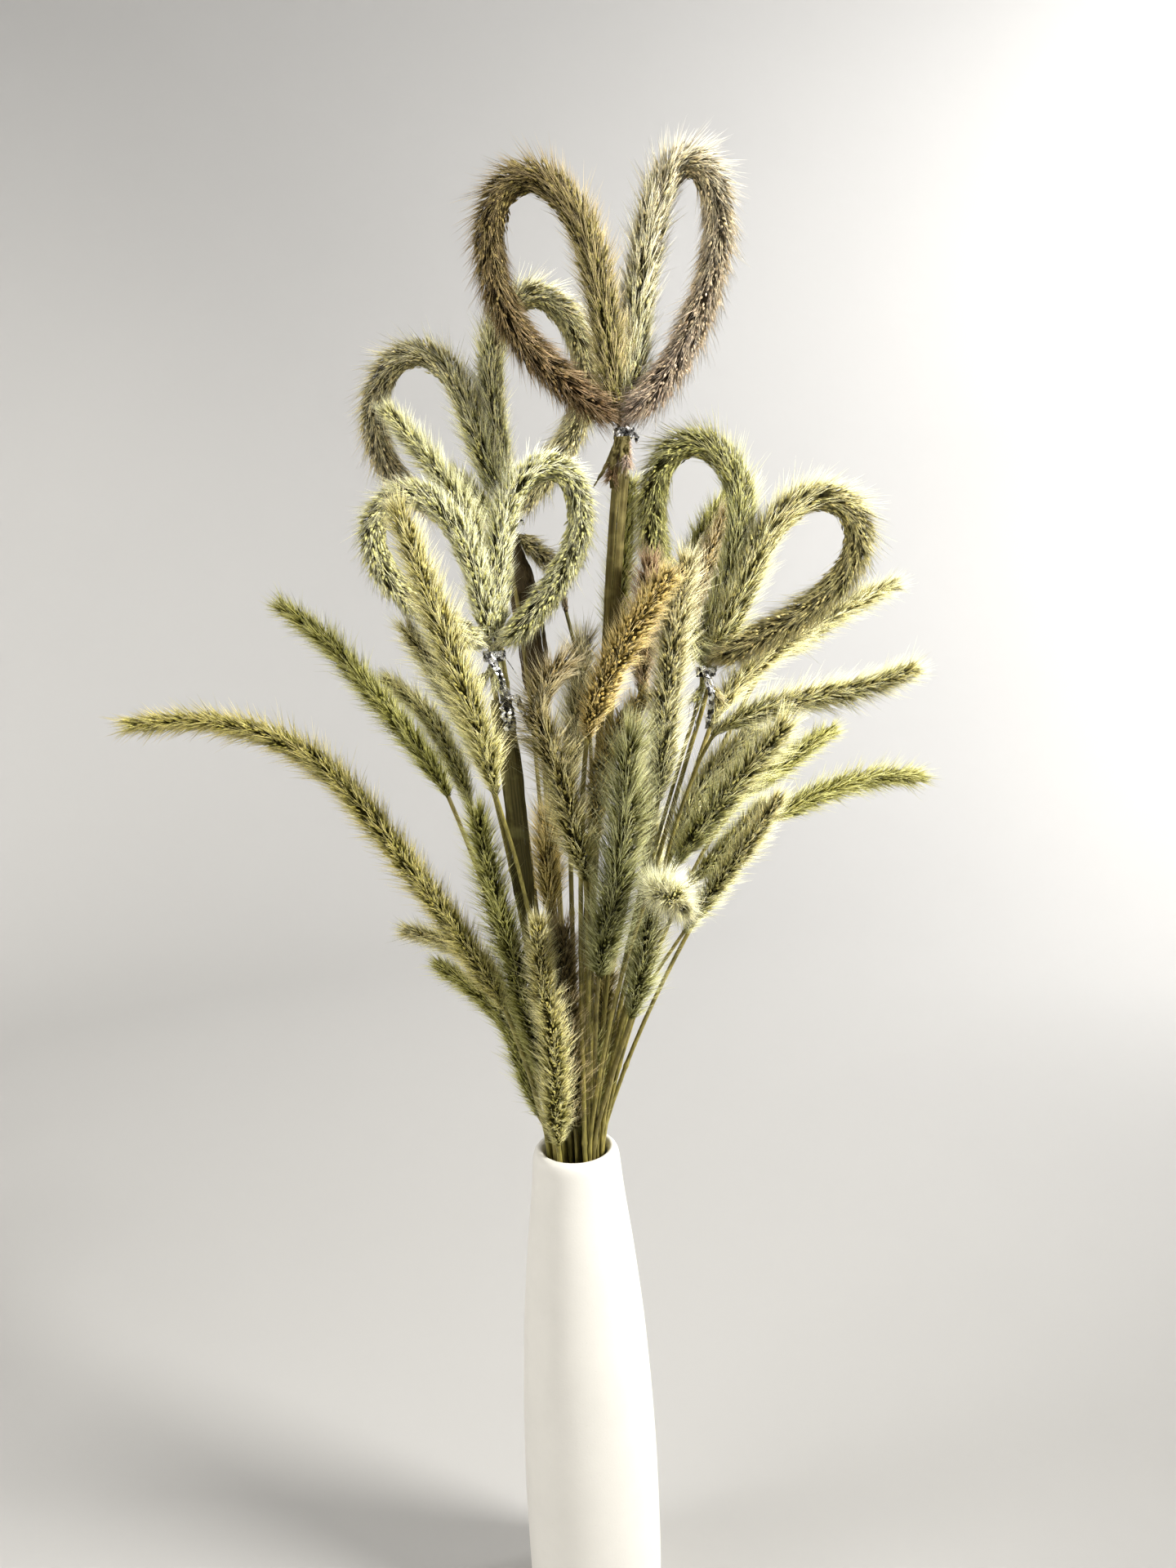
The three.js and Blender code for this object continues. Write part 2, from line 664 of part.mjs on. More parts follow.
// The middle, frame and free room of a stalk at a place between two rings, or just past its tip.
function placeAt(rings, frames, at) {
  const last = rings.length - 1;
  const i = Math.min(last - 1, Math.floor(at));
  const share = at - i;
  const middle = rings[i].place.clone().lerp(rings[i + 1].place, share);
  const mix = clamp01(share);
  const frame = {
    side: frames[i].side.clone().lerp(frames[i + 1].side, mix).normalize(),
    across: frames[i].across.clone().lerp(frames[i + 1].across, mix).normalize(),
  };
  const profile = rings[i].reach + (rings[i + 1].reach - rings[i].reach) * mix;
  return { middle, frame, profile };
}

// How tightly the stalk bends at a ring, as the vector to the middle of the bend over its radius squared.
function bendAt(rings, i) {
  if (i < 1 || i > rings.length - 2) {
    return new THREE.Vector3();
  }
  const before = rings[i].place.clone().sub(rings[i - 1].place);
  const after = rings[i + 1].place.clone().sub(rings[i].place);
  const length = (before.length() + after.length()) / 2;
  return after.normalize().sub(before.normalize()).divideScalar(length);
}

// The tip of the tuft that stands on one face of the core, or null where there is no room for it.
function tuftTip(stalk, frames, at, angle, draw) {
  const { rings } = stalk;
  const last = rings.length - 1;
  const i = Math.min(last - 1, Math.floor(at));
  const step = rings[i].place.distanceTo(rings[i + 1].place);
  const end = last + TUFT_PAST_TIP / step;
  const to = Math.min(end, at + TUFT_LEAN / step);
  let room = Infinity;
  let core = 0;
  for (let k = i; k <= Math.min(last, Math.ceil(to)); k += 1) {
    room = Math.min(room, rings[k].room);
    core = Math.max(core, rings[k].core);
  }
  const { middle, frame, profile } = placeAt(rings, frames, to);
  const out = outward(frame, angle);
  const inward = bendAt(rings, Math.min(last - 1, Math.round(to))).dot(out);
  const bendRoom = inward > 0.001 ? BEND_SHARE / inward : Infinity;
  const reach = Math.min(room, bendRoom, profile) * (1 - TUFT_RAGGED * draw());
  if (reach < core + TUFT_LEAST) {
    return null;
  }
  return middle.addScaledVector(out, reach);
}

// The whole stalk as one closed skin: foot, stem, and a head whose faces are raised into tufts.
function stalkGeometry(stalk, seed) {
  const { rings, firstInHead } = stalk;
  const frames = framesOf(rings);
  const draw = seeded(seed);
  const last = rings.length - 1;
  const positions = [];
  const faces = [];
  const turn = Math.PI / SIDES;
  const angleOf = (i, k) => turn * (2 * k + Math.max(0, i - firstInHead));
  const corner = (i, k) => SIDES * i + (k % SIDES);
  for (let i = 0; i < last; i += 1) {
    for (let k = 0; k < SIDES; k += 1) {
      const out = outward(frames[i], angleOf(i, k));
      positions.push(rings[i].place.clone().addScaledVector(out, rings[i].core));
    }
  }
  const tip = positions.length;
  positions.push(rings[last].place.clone());
  const addFace = (corners, at, angle) => {
    const top = at > firstInHead + 0.4 ? tuftTip(stalk, frames, at, angle, draw) : null;
    if (!top) {
      faces.push(corners);
      return;
    }
    const apex = positions.length;
    positions.push(top);
    const [a, b, c] = corners;
    faces.push([a, b, apex], [b, c, apex], [c, a, apex]);
  };
  faces.push([corner(0, 0), corner(0, 2), corner(0, 1)], [corner(0, 0), corner(0, 3), corner(0, 2)]);
  for (let i = 0; i < last - 1; i += 1) {
    for (let k = 0; k < SIDES; k += 1) {
      const low = [corner(i, k), corner(i, k + 1), corner(i + 1, k)];
      const high = [corner(i + 1, k), corner(i, k + 1), corner(i + 1, k + 1)];
      addFace(low, i + 1 / 3, angleOf(i, k) + turn);
      addFace(high, i + 2 / 3, angleOf(i, k + 1));
    }
  }
  for (let k = 0; k < SIDES; k += 1) {
    addFace([corner(last - 1, k), corner(last - 1, k + 1), tip], last - 0.6, angleOf(last - 1, k) + turn);
  }
  return geometryOf(positions, faces);
}

function geometryOf(positions, faces) {
  const numbers = positions.flatMap((place) => place.toArray());
  const geometry = new THREE.BufferGeometry();
  geometry.setAttribute("position", new THREE.Float32BufferAttribute(numbers, 3));
  geometry.setIndex(faces.flat());
  return geometry;
}

// A strip through sections, its front and back split alike, closed at both ends by bands of four.
function stripGeometry(sections) {
  const corners = sections[0].length;
  const half = corners / 2;
  const positions = sections.flat();
  const faces = [];
  for (let i = 0; i + 1 < sections.length; i += 1) {
    for (let k = 0; k < corners; k += 1) {
      const a = i * corners + k;
      const b = i * corners + ((k + 1) % corners);
      if (k < half) {
        faces.push([a, b, a + corners], [a + corners, b, b + corners]);
      } else {
        faces.push([a, b, b + corners], [a, b + corners, a + corners]);
      }
    }
  }
  const end = (sections.length - 1) * corners;
  for (let k = 0; k + 1 < half; k += 1) {
    const mirrored = corners - 1 - k;
    faces.push([k, mirrored, k + 1], [k + 1, mirrored, mirrored - 1]);
    faces.push([end + k, end + k + 1, end + mirrored], [end + k + 1, end + mirrored - 1, end + mirrored]);
  }
  return geometryOf(positions, faces);
}

function sheathGeometry(rings, halfWidth) {
  const frames = framesOf(rings);
  const sections = rings.map((one, i) => {
    const outer = [];
    const inner = [];
    for (let k = 0; k < SHEATH_ARC; k += 1) {
      const angle = SHEATH_FROM + (SHEATH_TURN * k) / (SHEATH_ARC - 1);
      const wave = SHEATH_WAVE * Math.sin(3 * i + k);
      const place = (across, depth) => {
        const out = one.place.clone().addScaledVector(frames[i].side, across * Math.cos(angle));
        return out.addScaledVector(frames[i].across, depth * Math.sin(angle) + wave);
      };
      outer.push(place(halfWidth, SHEATH_DEPTH));
      inner.push(place(halfWidth - LEAF_THICKNESS, SHEATH_DEPTH - LEAF_THICKNESS));
    }
    return [...outer, ...inner.reverse()];
  });
  return stripGeometry(sections);
}

function vaseGeometry() {
  const profile = [...VASE_OUTSIDE, ...VASE_LIP, ...VASE_INSIDE].map(([r, z]) => new THREE.Vector2(r, z));
  const geometry = new THREE.LatheGeometry(profile, VASE_SIDES);
  geometry.rotateX(Math.PI / 2);
  return geometry;
}

// A closed geometry as a solid that can be joined to another.
function solidOf(geometry) {
  const bare = geometry.clone();
  bare.deleteAttribute("normal");
  bare.deleteAttribute("uv");
  const merged = mergeVertices(bare, 1e-4);
  const mesh = new wasm.Mesh({
    numProp: 3,
    vertProperties: Float32Array.from(merged.attributes.position.array),
    triVerts: Uint32Array.from(merged.index.array),
  });
  return new wasm.Manifold(mesh);
}

function geometryOfSolid(solid) {
  const { vertProperties, triVerts } = solid.getMesh();
  const geometry = new THREE.BufferGeometry();
  geometry.setAttribute("position", new THREE.Float32BufferAttribute(vertProperties, 3));
  geometry.setIndex(Array.from(triVerts));
  return geometry;
}

// The crumpled band of a tie, round the z axis.
function bandGeometry(draw) {
  const positions = [];
  const faces = [];
  for (let i = 0; i < TIE_SIDES; i += 1) {
    const angle = (2 * Math.PI * i) / TIE_SIDES;
    const crease = TIE_CREASE * draw();
    const lift = TIE_CREASE * (draw() - 0.5);
    const outer = TIE_OUTER + crease;
    for (const [radius, end] of [[TIE_INNER, -1], [outer, -1], [outer, 1], [TIE_INNER, 1]]) {
      const height = (end * TIE_HEIGHT) / 2 + lift;
      positions.push(new THREE.Vector3(radius * Math.cos(angle), radius * Math.sin(angle), height));
    }
  }
  for (let i = 0; i < TIE_SIDES; i += 1) {
    const here = 4 * i;
    const next = 4 * ((i + 1) % TIE_SIDES);
    for (let k = 0; k < 4; k += 1) {
      const l = (k + 1) % 4;
      faces.push([here + k, here + l, next + k], [next + k, here + l, next + l]);
    }
  }
  faces.forEach((face) => face.reverse());
  return geometryOf(positions, faces);
}

function foilTailGeometry(steps, draw) {
  const sections = steps.map((step) => {
    const middle = point(step);
    const half = (FOIL_TAIL_WIDTH / 2) * (0.75 + 0.4 * draw());
    const skew = TIE_CREASE * (draw() - 0.5);
    const front = middle.y - FOIL_THICKNESS / 2;
    const rear = middle.y + FOIL_THICKNESS / 2;
    return [
      new THREE.Vector3(middle.x - half, front - skew, middle.z),
      new THREE.Vector3(middle.x + half, front + skew, middle.z + skew),
      new THREE.Vector3(middle.x + half, rear + skew, middle.z + skew),
      new THREE.Vector3(middle.x - half, rear - skew, middle.z),
    ];
  });
  return stripGeometry(sections.reverse());
}

function tieGeometry(heart, seed) {
  const draw = seeded(seed);
  let solid = solidOf(bandGeometry(draw));
  if (FOIL_TAILS[heart]) {
    solid = solid.add(solidOf(foilTailGeometry(FOIL_TAILS[heart], draw)));
  }
  return geometryOfSolid(solid);
}

function namedMesh(name, geometry, color, roughness, metalness) {
  const material = new THREE.MeshStandardMaterial({ color, roughness, metalness });
  const mesh = new THREE.Mesh(geometry, material);
  mesh.name = name;
  return mesh;
}

// Every stalk, sheath and tie as a chain of rings, the tied ones fixed where they are.
const stalks = Object.entries(STALKS).map(([name, data]) => singleStalk(name, data));
const colors = Object.fromEntries(Object.entries(STALKS).map(([name, { color }]) => [name, color]));
for (const [family, heart] of Object.entries(HEARTS)) {
  const [leftTail, rightTail] = heart.tails;
  stalks.push(loopStalk(`${family}_left_stalk`, family, heart, heart.left, -1, leftTail));
  stalks.push(loopStalk(`${family}_right_stalk`, family, heart, heart.right, 1, rightTail));
  colors[`${family}_left_stalk`] = heart.left.color;
  colors[`${family}_right_stalk`] = heart.right.color;
}
const sheaths = Object.entries(SHEATHS).map(([name, data]) => (
  { name, family: data.heart, pinned: true, isSheath: true, firstInHead: 0, rings: sheathRings(data) }
));
const chains = [...stalks, ...sheaths];
bendClear(chains);
measureRoom(chains);

const grass = new THREE.Group();
stalks.forEach((stalk, i) => {
  grass.add(namedMesh(stalk.name, stalkGeometry(stalk, 100 + i), colors[stalk.name], 0.85, 0));
});

const ties = new THREE.Group();
Object.keys(HEARTS).forEach((heart, i) => {
  const tie = namedMesh(`${heart}_tie`, tieGeometry(heart, 500 + i), FOIL, 0.3, 1);
  tie.position.set(...HEARTS[heart].tie);
  ties.add(tie);
});
for (const sheath of sheaths) {
  const geometry = sheathGeometry(sheath.rings, SHEATHS[sheath.name].halfWidth);
  ties.add(namedMesh(sheath.name, geometry, LEAF, 0.8, 0));
}

const bouquet = new THREE.Group();
bouquet.add(namedMesh("vase", vaseGeometry(), CERAMIC, 0.6, 0), grass, ties);

export default bouquet;
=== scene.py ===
"""Dried foxtail grass in a slim ceramic vase: 46 stalks, eight of them tied with foil into four hearts."""

import functools
import math
from types import SimpleNamespace

import bmesh
import bpy
import numpy as np
from mathutils import Matrix, Vector


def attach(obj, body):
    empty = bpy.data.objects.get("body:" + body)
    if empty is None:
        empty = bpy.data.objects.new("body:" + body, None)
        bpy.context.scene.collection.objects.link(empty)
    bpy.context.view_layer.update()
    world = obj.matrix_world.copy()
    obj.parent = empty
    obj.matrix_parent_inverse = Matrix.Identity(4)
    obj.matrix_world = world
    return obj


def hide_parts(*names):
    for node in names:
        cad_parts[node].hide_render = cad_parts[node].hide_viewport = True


bl_info = {
    "name": "Foxtail Grass Bouquet",
    "version": (1, 0, 0),
    "blender": (4, 5, 0),
    "location": "View3D > Sidebar > Bouquet",
    "description": "Dried foxtail grass, tied into hearts, in a slim ceramic vase",
    "category": "Object",
}

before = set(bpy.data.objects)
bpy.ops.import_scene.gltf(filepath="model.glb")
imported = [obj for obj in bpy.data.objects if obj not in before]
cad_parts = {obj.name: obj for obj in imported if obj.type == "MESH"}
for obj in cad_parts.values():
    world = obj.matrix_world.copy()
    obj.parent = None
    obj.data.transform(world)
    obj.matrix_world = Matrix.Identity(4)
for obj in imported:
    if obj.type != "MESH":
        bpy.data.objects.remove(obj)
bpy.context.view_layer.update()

MM = 0.001

# How stalks stand in the vase, in millimetres: the places of their lower rings, and the room that these have.
MOUTH_HEIGHT = 302
RINGS_IN_VASE = 4
ROOM_IN_VASE = (28, 28, 27.2, 17.2)
FOOT_HEIGHT = 8.3
LOW_HEIGHT = 50
MIDDLE_HEIGHT = 170
LOW_SPREAD = 1.25
MIDDLE_SPREAD = 1.2

# Rings along a stalk, in millimetres: the stem's radius, and the steps along the stem, the head and a loop's
# tail. The long step takes a whole leg at once.
STEM_RADIUS = 1.1
STEM_STEP = 38
HEAD_STEP = 11.5
TAIL_STEP = 9
LONG_STEP = 1000
# Samples between two points of a route, to measure along it.
FINE = 16

# How a head swells over its base and rounds off at its tip, in millimetres and shares.
CORE_SHARE = 0.5
HEAD_SWELL = 26
LOOP_SWELL = 34
TAIL_SWELL = 8
ROUND_FROM = 0.6
TIP_SHARE = 0.62
# How far the bristles of straight heads and of loops stand out, as a share of the reach.
FLUFF = 1.55
LOOP_FLUFF = 1.2

# How the stalks bend clear of each other: the gap in millimetres, how deep bristles may meet, the rounds, what
# a stalk gives in x, y and z, how far a push is eased along it, how strong it is, and the least that counts.
GAP = 0.45
PACK_SHARE = 0.4
ROUNDS = 90
GIVE = np.array((0.6, 1, 0.3))
EASE = 0.2
PUSH_BOOST = 1.3
LEAST_WEIGHT = 0.05

# The tied pairs, in millimetres: half the height of a tie, how far the strands stand from its middle, and how
# much of a tail's drop lies in its first half.
TIE_HALF = 6
STRAND_SIDE = 1.7
STRAND_DEPTH = 1.7
TAIL_DROP = 0.3

# Samples along the stems that a sheath folds round, and the rings that are kept.
SHEATH_FINE = 401
SHEATH_RINGS = 7

# Single stalks, in millimetres: where the stem passes the mouth, the bristles' reach, the head from its base
# to its tip, the kind of grass, and how ripe the head is at its base and at its tip. Some stand out further
# (fluff), carry bigger seeds (seedy), lie darker (shade) or end in a round puff. A shade below 1 is mostly
# painted shade on heads that lie deep in the bunch; on the small bud it is its own dark brown.
STALKS = {
    "left_stalk_1": dict(
        neck=(-14, -5), reach=9.5, slim_tip=0.5, grass="golden", ripe=(0, 0.12), fluff=1.5,
        head=[(-31, -24, 393), (-45, -28, 422), (-64, -34, 456), (-90, -42, 499), (-111, -48, 531),
              (-137, -54, 552), (-170, -60, 563), (-205, -64, 563)]),
    "left_stalk_2": dict(
        neck=(-12, 2), reach=9, grass="dark", ripe=(0.1, 0.4),
        head=[(-62, 10, 507), (-81, 16, 540), (-103, 22, 568), (-127, 28, 597), (-152, 34, 617)]),
    "left_stalk_3": dict(
        neck=(-9, 7), reach=8.5, grass="green", ripe=(0.2, 0.4),
        head=[(-51, 24, 499), (-62, 32, 530), (-77, 40, 555), (-98, 46, 572)]),
    "left_stalk_4": dict(
        neck=(-8, -8), reach=9.5, grass="tan", stem=[(-20, -44, 467)], ripe=(0, 0.3), fluff=1.65,
        head=[(-30, -58, 519), (-34, -66, 549), (-41, -70, 573), (-48, -74, 599), (-57, -78, 630),
              (-65, -82, 659)]),
    "left_stalk_5": dict(
        neck=(-10, -3), reach=9, grass="green", ripe=(0.1, 0.5),
        head=[(-35, -20, 521), (-44, -24, 550), (-55, -28, 573), (-72, -34, 603)]),
    "left_stalk_6": dict(
        neck=(-12, -8), reach=9.5, grass="dark", ripe=(0.1, 0.2), fluff=1.75, shade=0.85,
        head=[(-17, -14, 349), (-21, -22, 384), (-27, -28, 416), (-34, -34, 451), (-42, -42, 508)]),
    "left_stalk_7": dict(
        neck=(-14, 3), reach=8, grass="green", ripe=(0.2, 0.5),
        head=[(-27, 6, 366), (-39, 8, 395), (-54, 12, 413), (-73, 16, 423), (-93, 20, 428)]),
    "left_stalk_8": dict(
        neck=(-15, 7), reach=8.5, grass="dark", ripe=(0.1, 0.3),
        head=[(-21, 10, 314), (-28, 16, 340), (-39, 24, 370), (-59, 34, 387), (-79, 44, 399)]),
    "left_stalk_9": dict(
        neck=(-7, 12), reach=7, grass="green", stem=[(-14, 32, 560)], ripe=(0.2, 0.3),
        head=[(-24, 32, 650), (-31, 32, 664), (-41, 33, 676), (-51, 34, 686)]),
    "left_stalk_10": dict(
        neck=(-9, 10), reach=9, grass="pale", ripe=(0, 0.2), shade=0.9,
        head=[(-30, 10, 612), (-35, 8, 639), (-45, 6, 668), (-62, 3, 693), (-79, 0, 715)]),
    "centre_stalk_1": dict(
        neck=(-9, -11), reach=10, grass="tan", ripe=(0, 0.3), fluff=1.5,
        head=[(-9, -12, 308), (-8, -20, 341), (-9, -27, 379), (-14, -33, 413), (-15, -38, 448)]),
    "centre_stalk_2": dict(
        neck=(1, -8), reach=9, grass="brown", ripe=(0.2, 0.5), fluff=2.2, shade=0.8,
        head=[(1, -8, 315), (0, -13, 354), (-1, -17, 395), (-1, -21, 436)]),
    "centre_stalk_3": dict(
        neck=(9, 5), reach=8, grass="golden", ripe=(0.3, 0.6), fluff=2.3, shade=0.75,
        head=[(12, 7, 333), (16, 10, 371), (19, 13, 406)]),
    "centre_stalk_4": dict(
        neck=(5, -4), reach=8, grass="dark", ripe=(0, 0.2), fluff=2.4, shade=0.7,
        head=[(5, -4, 306), (7, -3, 332), (11, -2, 362)]),
    "centre_stalk_5": dict(
        neck=(8, -12), reach=10, grass="tan", ripe=(0, 0.9), fluff=2, seedy=0.5, shade=0.8,
        head=[(15, -40, 468), (9, -44, 499), (1, -48, 534), (-8, -50, 558), (-2, -50, 573), (8, -50, 583)]),
    "centre_stalk_6": dict(
        neck=(4, 2), reach=9, grass="green", ripe=(0.5, 0.7), fluff=2, shade=0.7,
        head=[(8, 0, 515), (12, 2, 542), (15, 3, 564), (18, 4, 590)]),
    "centre_stalk_7": dict(
        neck=(6, -14), reach=11, grass="golden", ripe=(0.9, 1), seedy=1, fluff=1.45,
        head=[(17, -48, 543), (26, -51, 570), (45, -53, 602), (61, -54, 624)]),
    "centre_stalk_8": dict(
        neck=(9, -6), reach=8.5, grass="golden", ripe=(0.6, 0.8), seedy=0.7, fluff=1.7,
        head=[(19, -24, 486), (23, -26, 522), (34, -27, 547), (49, -26, 563)]),
    "centre_stalk_9": dict(
        neck=(12, -10), reach=11, grass="green", ripe=(0, 0.15), fluff=2, shade=0.62,
        head=[(17, -34, 413), (25, -42, 452), (34, -48, 497), (36, -52, 527), (40, -54, 546)]),
    "centre_stalk_10": dict(
        neck=(13, -3), reach=10, grass="pale", ripe=(0.2, 0.4),
        head=[(46, 12, 429), (52, 16, 461), (49, 18, 494), (45, 20, 522)]),
    "centre_stalk_11": dict(
        neck=(12, -7), reach=11, shade=0.85, grass="pale", ripe=(0.2, 0.8), seedy=0.3, fluff=1.6,
        head=[(55, -34, 508), (58, -38, 545), (61, -42, 578), (66, -44, 609), (71, -46, 630)]),
    "centre_stalk_12": dict(
        neck=(9, 13), reach=9, grass="tan", ripe=(0.7, 1),
        head=[(67, 38, 557), (76, 44, 594), (87, 50, 622), (103, 58, 657)]),
    "centre_stalk_13": dict(
        neck=(6, 15), reach=9, grass="dark", ripe=(0.2, 0.4),
        head=[(72, 62, 598), (83, 68, 631), (94, 72, 652), (106, 76, 669)]),
    "centre_stalk_14": dict(
        neck=(9, 1), reach=7.5, grass="brown", ripe=(0.7, 1), fluff=2,
        head=[(48, -2, 562), (51, 0, 588), (54, 2, 607), (57, 4, 630)]),
    "centre_stalk_15": dict(
        neck=(3, 14), reach=9.5, grass="dark", ripe=(0.2, 0.4),
        head=[(34, 30, 578), (38, 33, 610), (43, 36, 645), (48, 38, 675)]),
    "centre_stalk_16": dict(
        neck=(0, 4), reach=2.6, grass="brown", shade=0.42, stem=[(19, -2, 540), (13, -4, 590)], ripe=(0.8, 1),
        head=[(9, -6, 607), (8, -6, 619)]),
    "centre_stalk_17": dict(
        neck=(-5, 4), reach=7.5, grass="golden", ripe=(0.6, 0.8), fluff=2.6,
        head=[(-8, 8, 437), (-8, 10, 466), (-8, 11, 492)]),
    "right_stalk_1": dict(
        neck=(13, 10), reach=9, grass="green", ripe=(0.4, 0.4),
        head=[(124, 56, 568), (150, 66, 585), (180, 78, 602), (210, 88, 613)]),
    "right_stalk_2": dict(
        neck=(12, 6), reach=9, grass="green", ripe=(0.4, 0.5),
        head=[(85, 26, 537), (96, 32, 554), (119, 40, 574), (147, 48, 590)]),
    "right_stalk_3": dict(
        neck=(14, 0), reach=9, grass="green", stem=[(65, -10, 494)], ripe=(0.3, 0.4),
        head=[(84, -14, 538), (105, -20, 550), (132, -26, 557), (160, -34, 562), (184, -42, 571)]),
    "right_stalk_4": dict(
        neck=(14, -5), reach=11, grass="green", ripe=(0.1, 0.4),
        head=[(61, -30, 471), (72, -36, 490), (92, -46, 517), (116, -58, 548)]),
    "right_stalk_5": dict(
        neck=(14, 3), reach=10, grass="pale", ripe=(0.2, 0.4),
        head=[(59, -2, 470), (71, -2, 497), (89, 0, 521), (110, 2, 539)]),
    "right_stalk_6": dict(
        neck=(12, 8), reach=8, grass="dark", stem=[(92, 32, 480)], ripe=(0.2, 0.4),
        head=[(108, 38, 494), (131, 46, 510), (149, 52, 522), (165, 58, 529)]),
    "right_stalk_7": dict(
        neck=(15, 2), reach=8.5, grass="dark", stem=[(89, 14, 453)], ripe=(0.2, 0.4),
        head=[(116, 20, 481), (136, 26, 491), (164, 32, 500), (189, 38, 503), (213, 44, 501)]),
    "right_stalk_8": dict(
        neck=(16, -6), reach=8, grass="green", stem=[(33, -12, 377)], ripe=(0.2, 0.5),
        head=[(64, -28, 434), (78, -36, 457), (97, -46, 485), (112, -56, 510)]),
    "right_stalk_9": dict(
        neck=(16, -2), reach=8, grass="green", ripe=(0.2, 0.4),
        head=[(69, -10, 455), (82, -14, 468), (97, -18, 485), (110, -22, 501)]),
    "right_stalk_10": dict(
        neck=(10, -13), reach=10.5, grass="pale", stem=[(30, -28, 410), (42, -40, 448)], ripe=(0, 0.4),
        fluff=1.65, puff=1,
        head=[(46, -50, 463), (50, -64, 468), (55, -80, 469), (59, -94, 467)]),
    "right_stalk_11": dict(
        neck=(11, -11), reach=9, grass="green", ripe=(0, 0.3), fluff=2, shade=0.7,
        head=[(35, -16, 383), (41, -20, 408), (46, -22, 432), (50, -22, 460)]),
}

# Hearts, in millimetres: where the pair of stems passes the mouth, its tie, each loop from its base round to
# its tip, and how far each head's end sticks out below the tie.
HEARTS = {
    "heart1": dict(
        neck=(6, 9), stem=[(18, 8, 470), (29, 5, 557), (35, 2, 620), (40, 0, 665)], tie=(43.5, 0, 698),
        tails=[dict(step=(-6, -5, -24), reach=3.5), dict(step=(-1, -6, -17), reach=3.5)],
        left=dict(
            reach=13, grass="brown", ripe=(0, 1),
            loop=[(39, 0, 724), (37, -2, 751), (32, -3, 783), (22, -1, 812), (4, 2, 828), (-14, 4, 823),
                  (-22, 5, 805), (-21, 5, 782), (-14, 4, 758), (2, 1, 737), (24, -2, 716)]),
        right=dict(
            reach=13, grass="green", shade=(1.1, 1.06, 1.5), ripe=(0, 1),
            loop=[(49.5, 3, 726), (52, 5, 752), (57, 5, 780), (63, 5, 806), (72, 4, 829), (84, 3, 833),
                  (94, 2, 823), (97, 1, 800), (92, 0, 774), (83, -1, 752), (66, -3, 724)])),
    "heart2": dict(
        neck=(-4, 9), stem=[(-5, 26, 470), (-8, 34, 546), (-14, 41, 610)], tie=(-22, 46, 658),
        tails=[dict(step=(-5, -5, -15), reach=3.5), dict(step=(22, -6, -24), reach=8)],
        left=dict(
            reach=12, shade=(1.25, 1.25, 1.55), grass="green", ripe=(0.1, 0.9),
            loop=[(-29, 46, 684), (-38, 46, 710), (-47, 47, 740), (-63, 48, 754), (-81, 49, 751),
                  (-93, 50, 734), (-96, 51, 712), (-88, 51, 689), (-68, 50, 671), (-44, 47, 663)]),
        right=dict(
            reach=12, shade=(1.25, 1.25, 1.55), grass="green", ripe=(0.2, 0.5),
            loop=[(-25, 49, 690), (-28, 51, 722), (-27, 52, 753), (-18, 53, 777), (-1, 53, 784),
                  (16, 53, 773), (26, 53, 750), (25, 52, 722), (11, 50, 698), (-7, 48, 676)])),
    "heart3": dict(
        neck=(-5, -6), stem=[(-18, -20, 427), (-21, -28, 475), (-23, -35, 530)], tie=(-28, -39, 587),
        tails=[dict(step=(-7, -4, -14), reach=4.5), dict(step=(-1, -6, -16), reach=3.5)],
        left=dict(
            reach=11, fluff=1.08, shade=(1.12, 1.12, 1.25), grass="pale", ripe=(0, 0.2),
            loop=[(-31, -40, 612), (-35, -42, 634), (-43, -44, 654), (-57, -45, 668), (-71, -46, 669),
                  (-83, -46, 658), (-85, -45, 642), (-77, -43, 626), (-61, -41, 611), (-42, -40, 598)]),
        right=dict(
            reach=11, fluff=1.08, shade=(1.12, 1.12, 1.25), grass="pale", ripe=(0, 0.1),
            loop=[(-26, -36, 613), (-24, -34, 634), (-20, -34, 656), (-10, -35, 675), (6, -36, 681),
                  (18, -37, 671), (20, -38, 651), (12, -40, 631), (-2, -41, 613), (-15, -41, 599)])),
    "heart4": dict(
        neck=(11, 3), stem=[(46, 7, 445), (60, 7, 490), (72, 7, 527)], tie=(84, 6, 571),
        tails=[dict(step=(-5, -5, -14), reach=3.5), dict(step=(4, -6, -15), reach=3.5)],
        left=dict(
            reach=12.5, grass="green", ripe=(0.2, 0.2),
            loop=[(90, 9, 598), (99, 9, 624), (106, 8, 650), (105, 8, 672), (95, 8, 689), (80, 8, 695),
                  (65, 8, 687), (58, 8, 668), (57, 8, 645), (63, 8, 620), (72, 7, 596)]),
        right=dict(
            reach=12.5, grass="green", ripe=(0.3, 0.7),
            loop=[(97, 2, 598), (108, 0, 624), (120, -1, 648), (137, -2, 662), (154, -2, 662),
                  (167, -2, 649), (166, -1, 629), (153, 0, 612), (132, 1, 598), (108, 2, 586)])),
}

# Sheaths, in millimetres: their heart, half width, and the heights where they start and end.
SHEATHS = {
    "heart1_sheath": dict(heart="heart1", half_width=4.3, top=678, bottom=520),
    "heart2_sheath": dict(heart="heart2", half_width=5.6, top=636, bottom=560),
    "heart3_sheath": dict(heart="heart3", half_width=5.4, top=566, bottom=450),
}


def unit(vectors):
    return vectors / np.maximum(np.linalg.norm(vectors, axis=-1, keepdims=True), 1e-12)


def smooth(share):
    share = np.clip(share, 0, 1)
    return share * share * (3 - 2 * share)


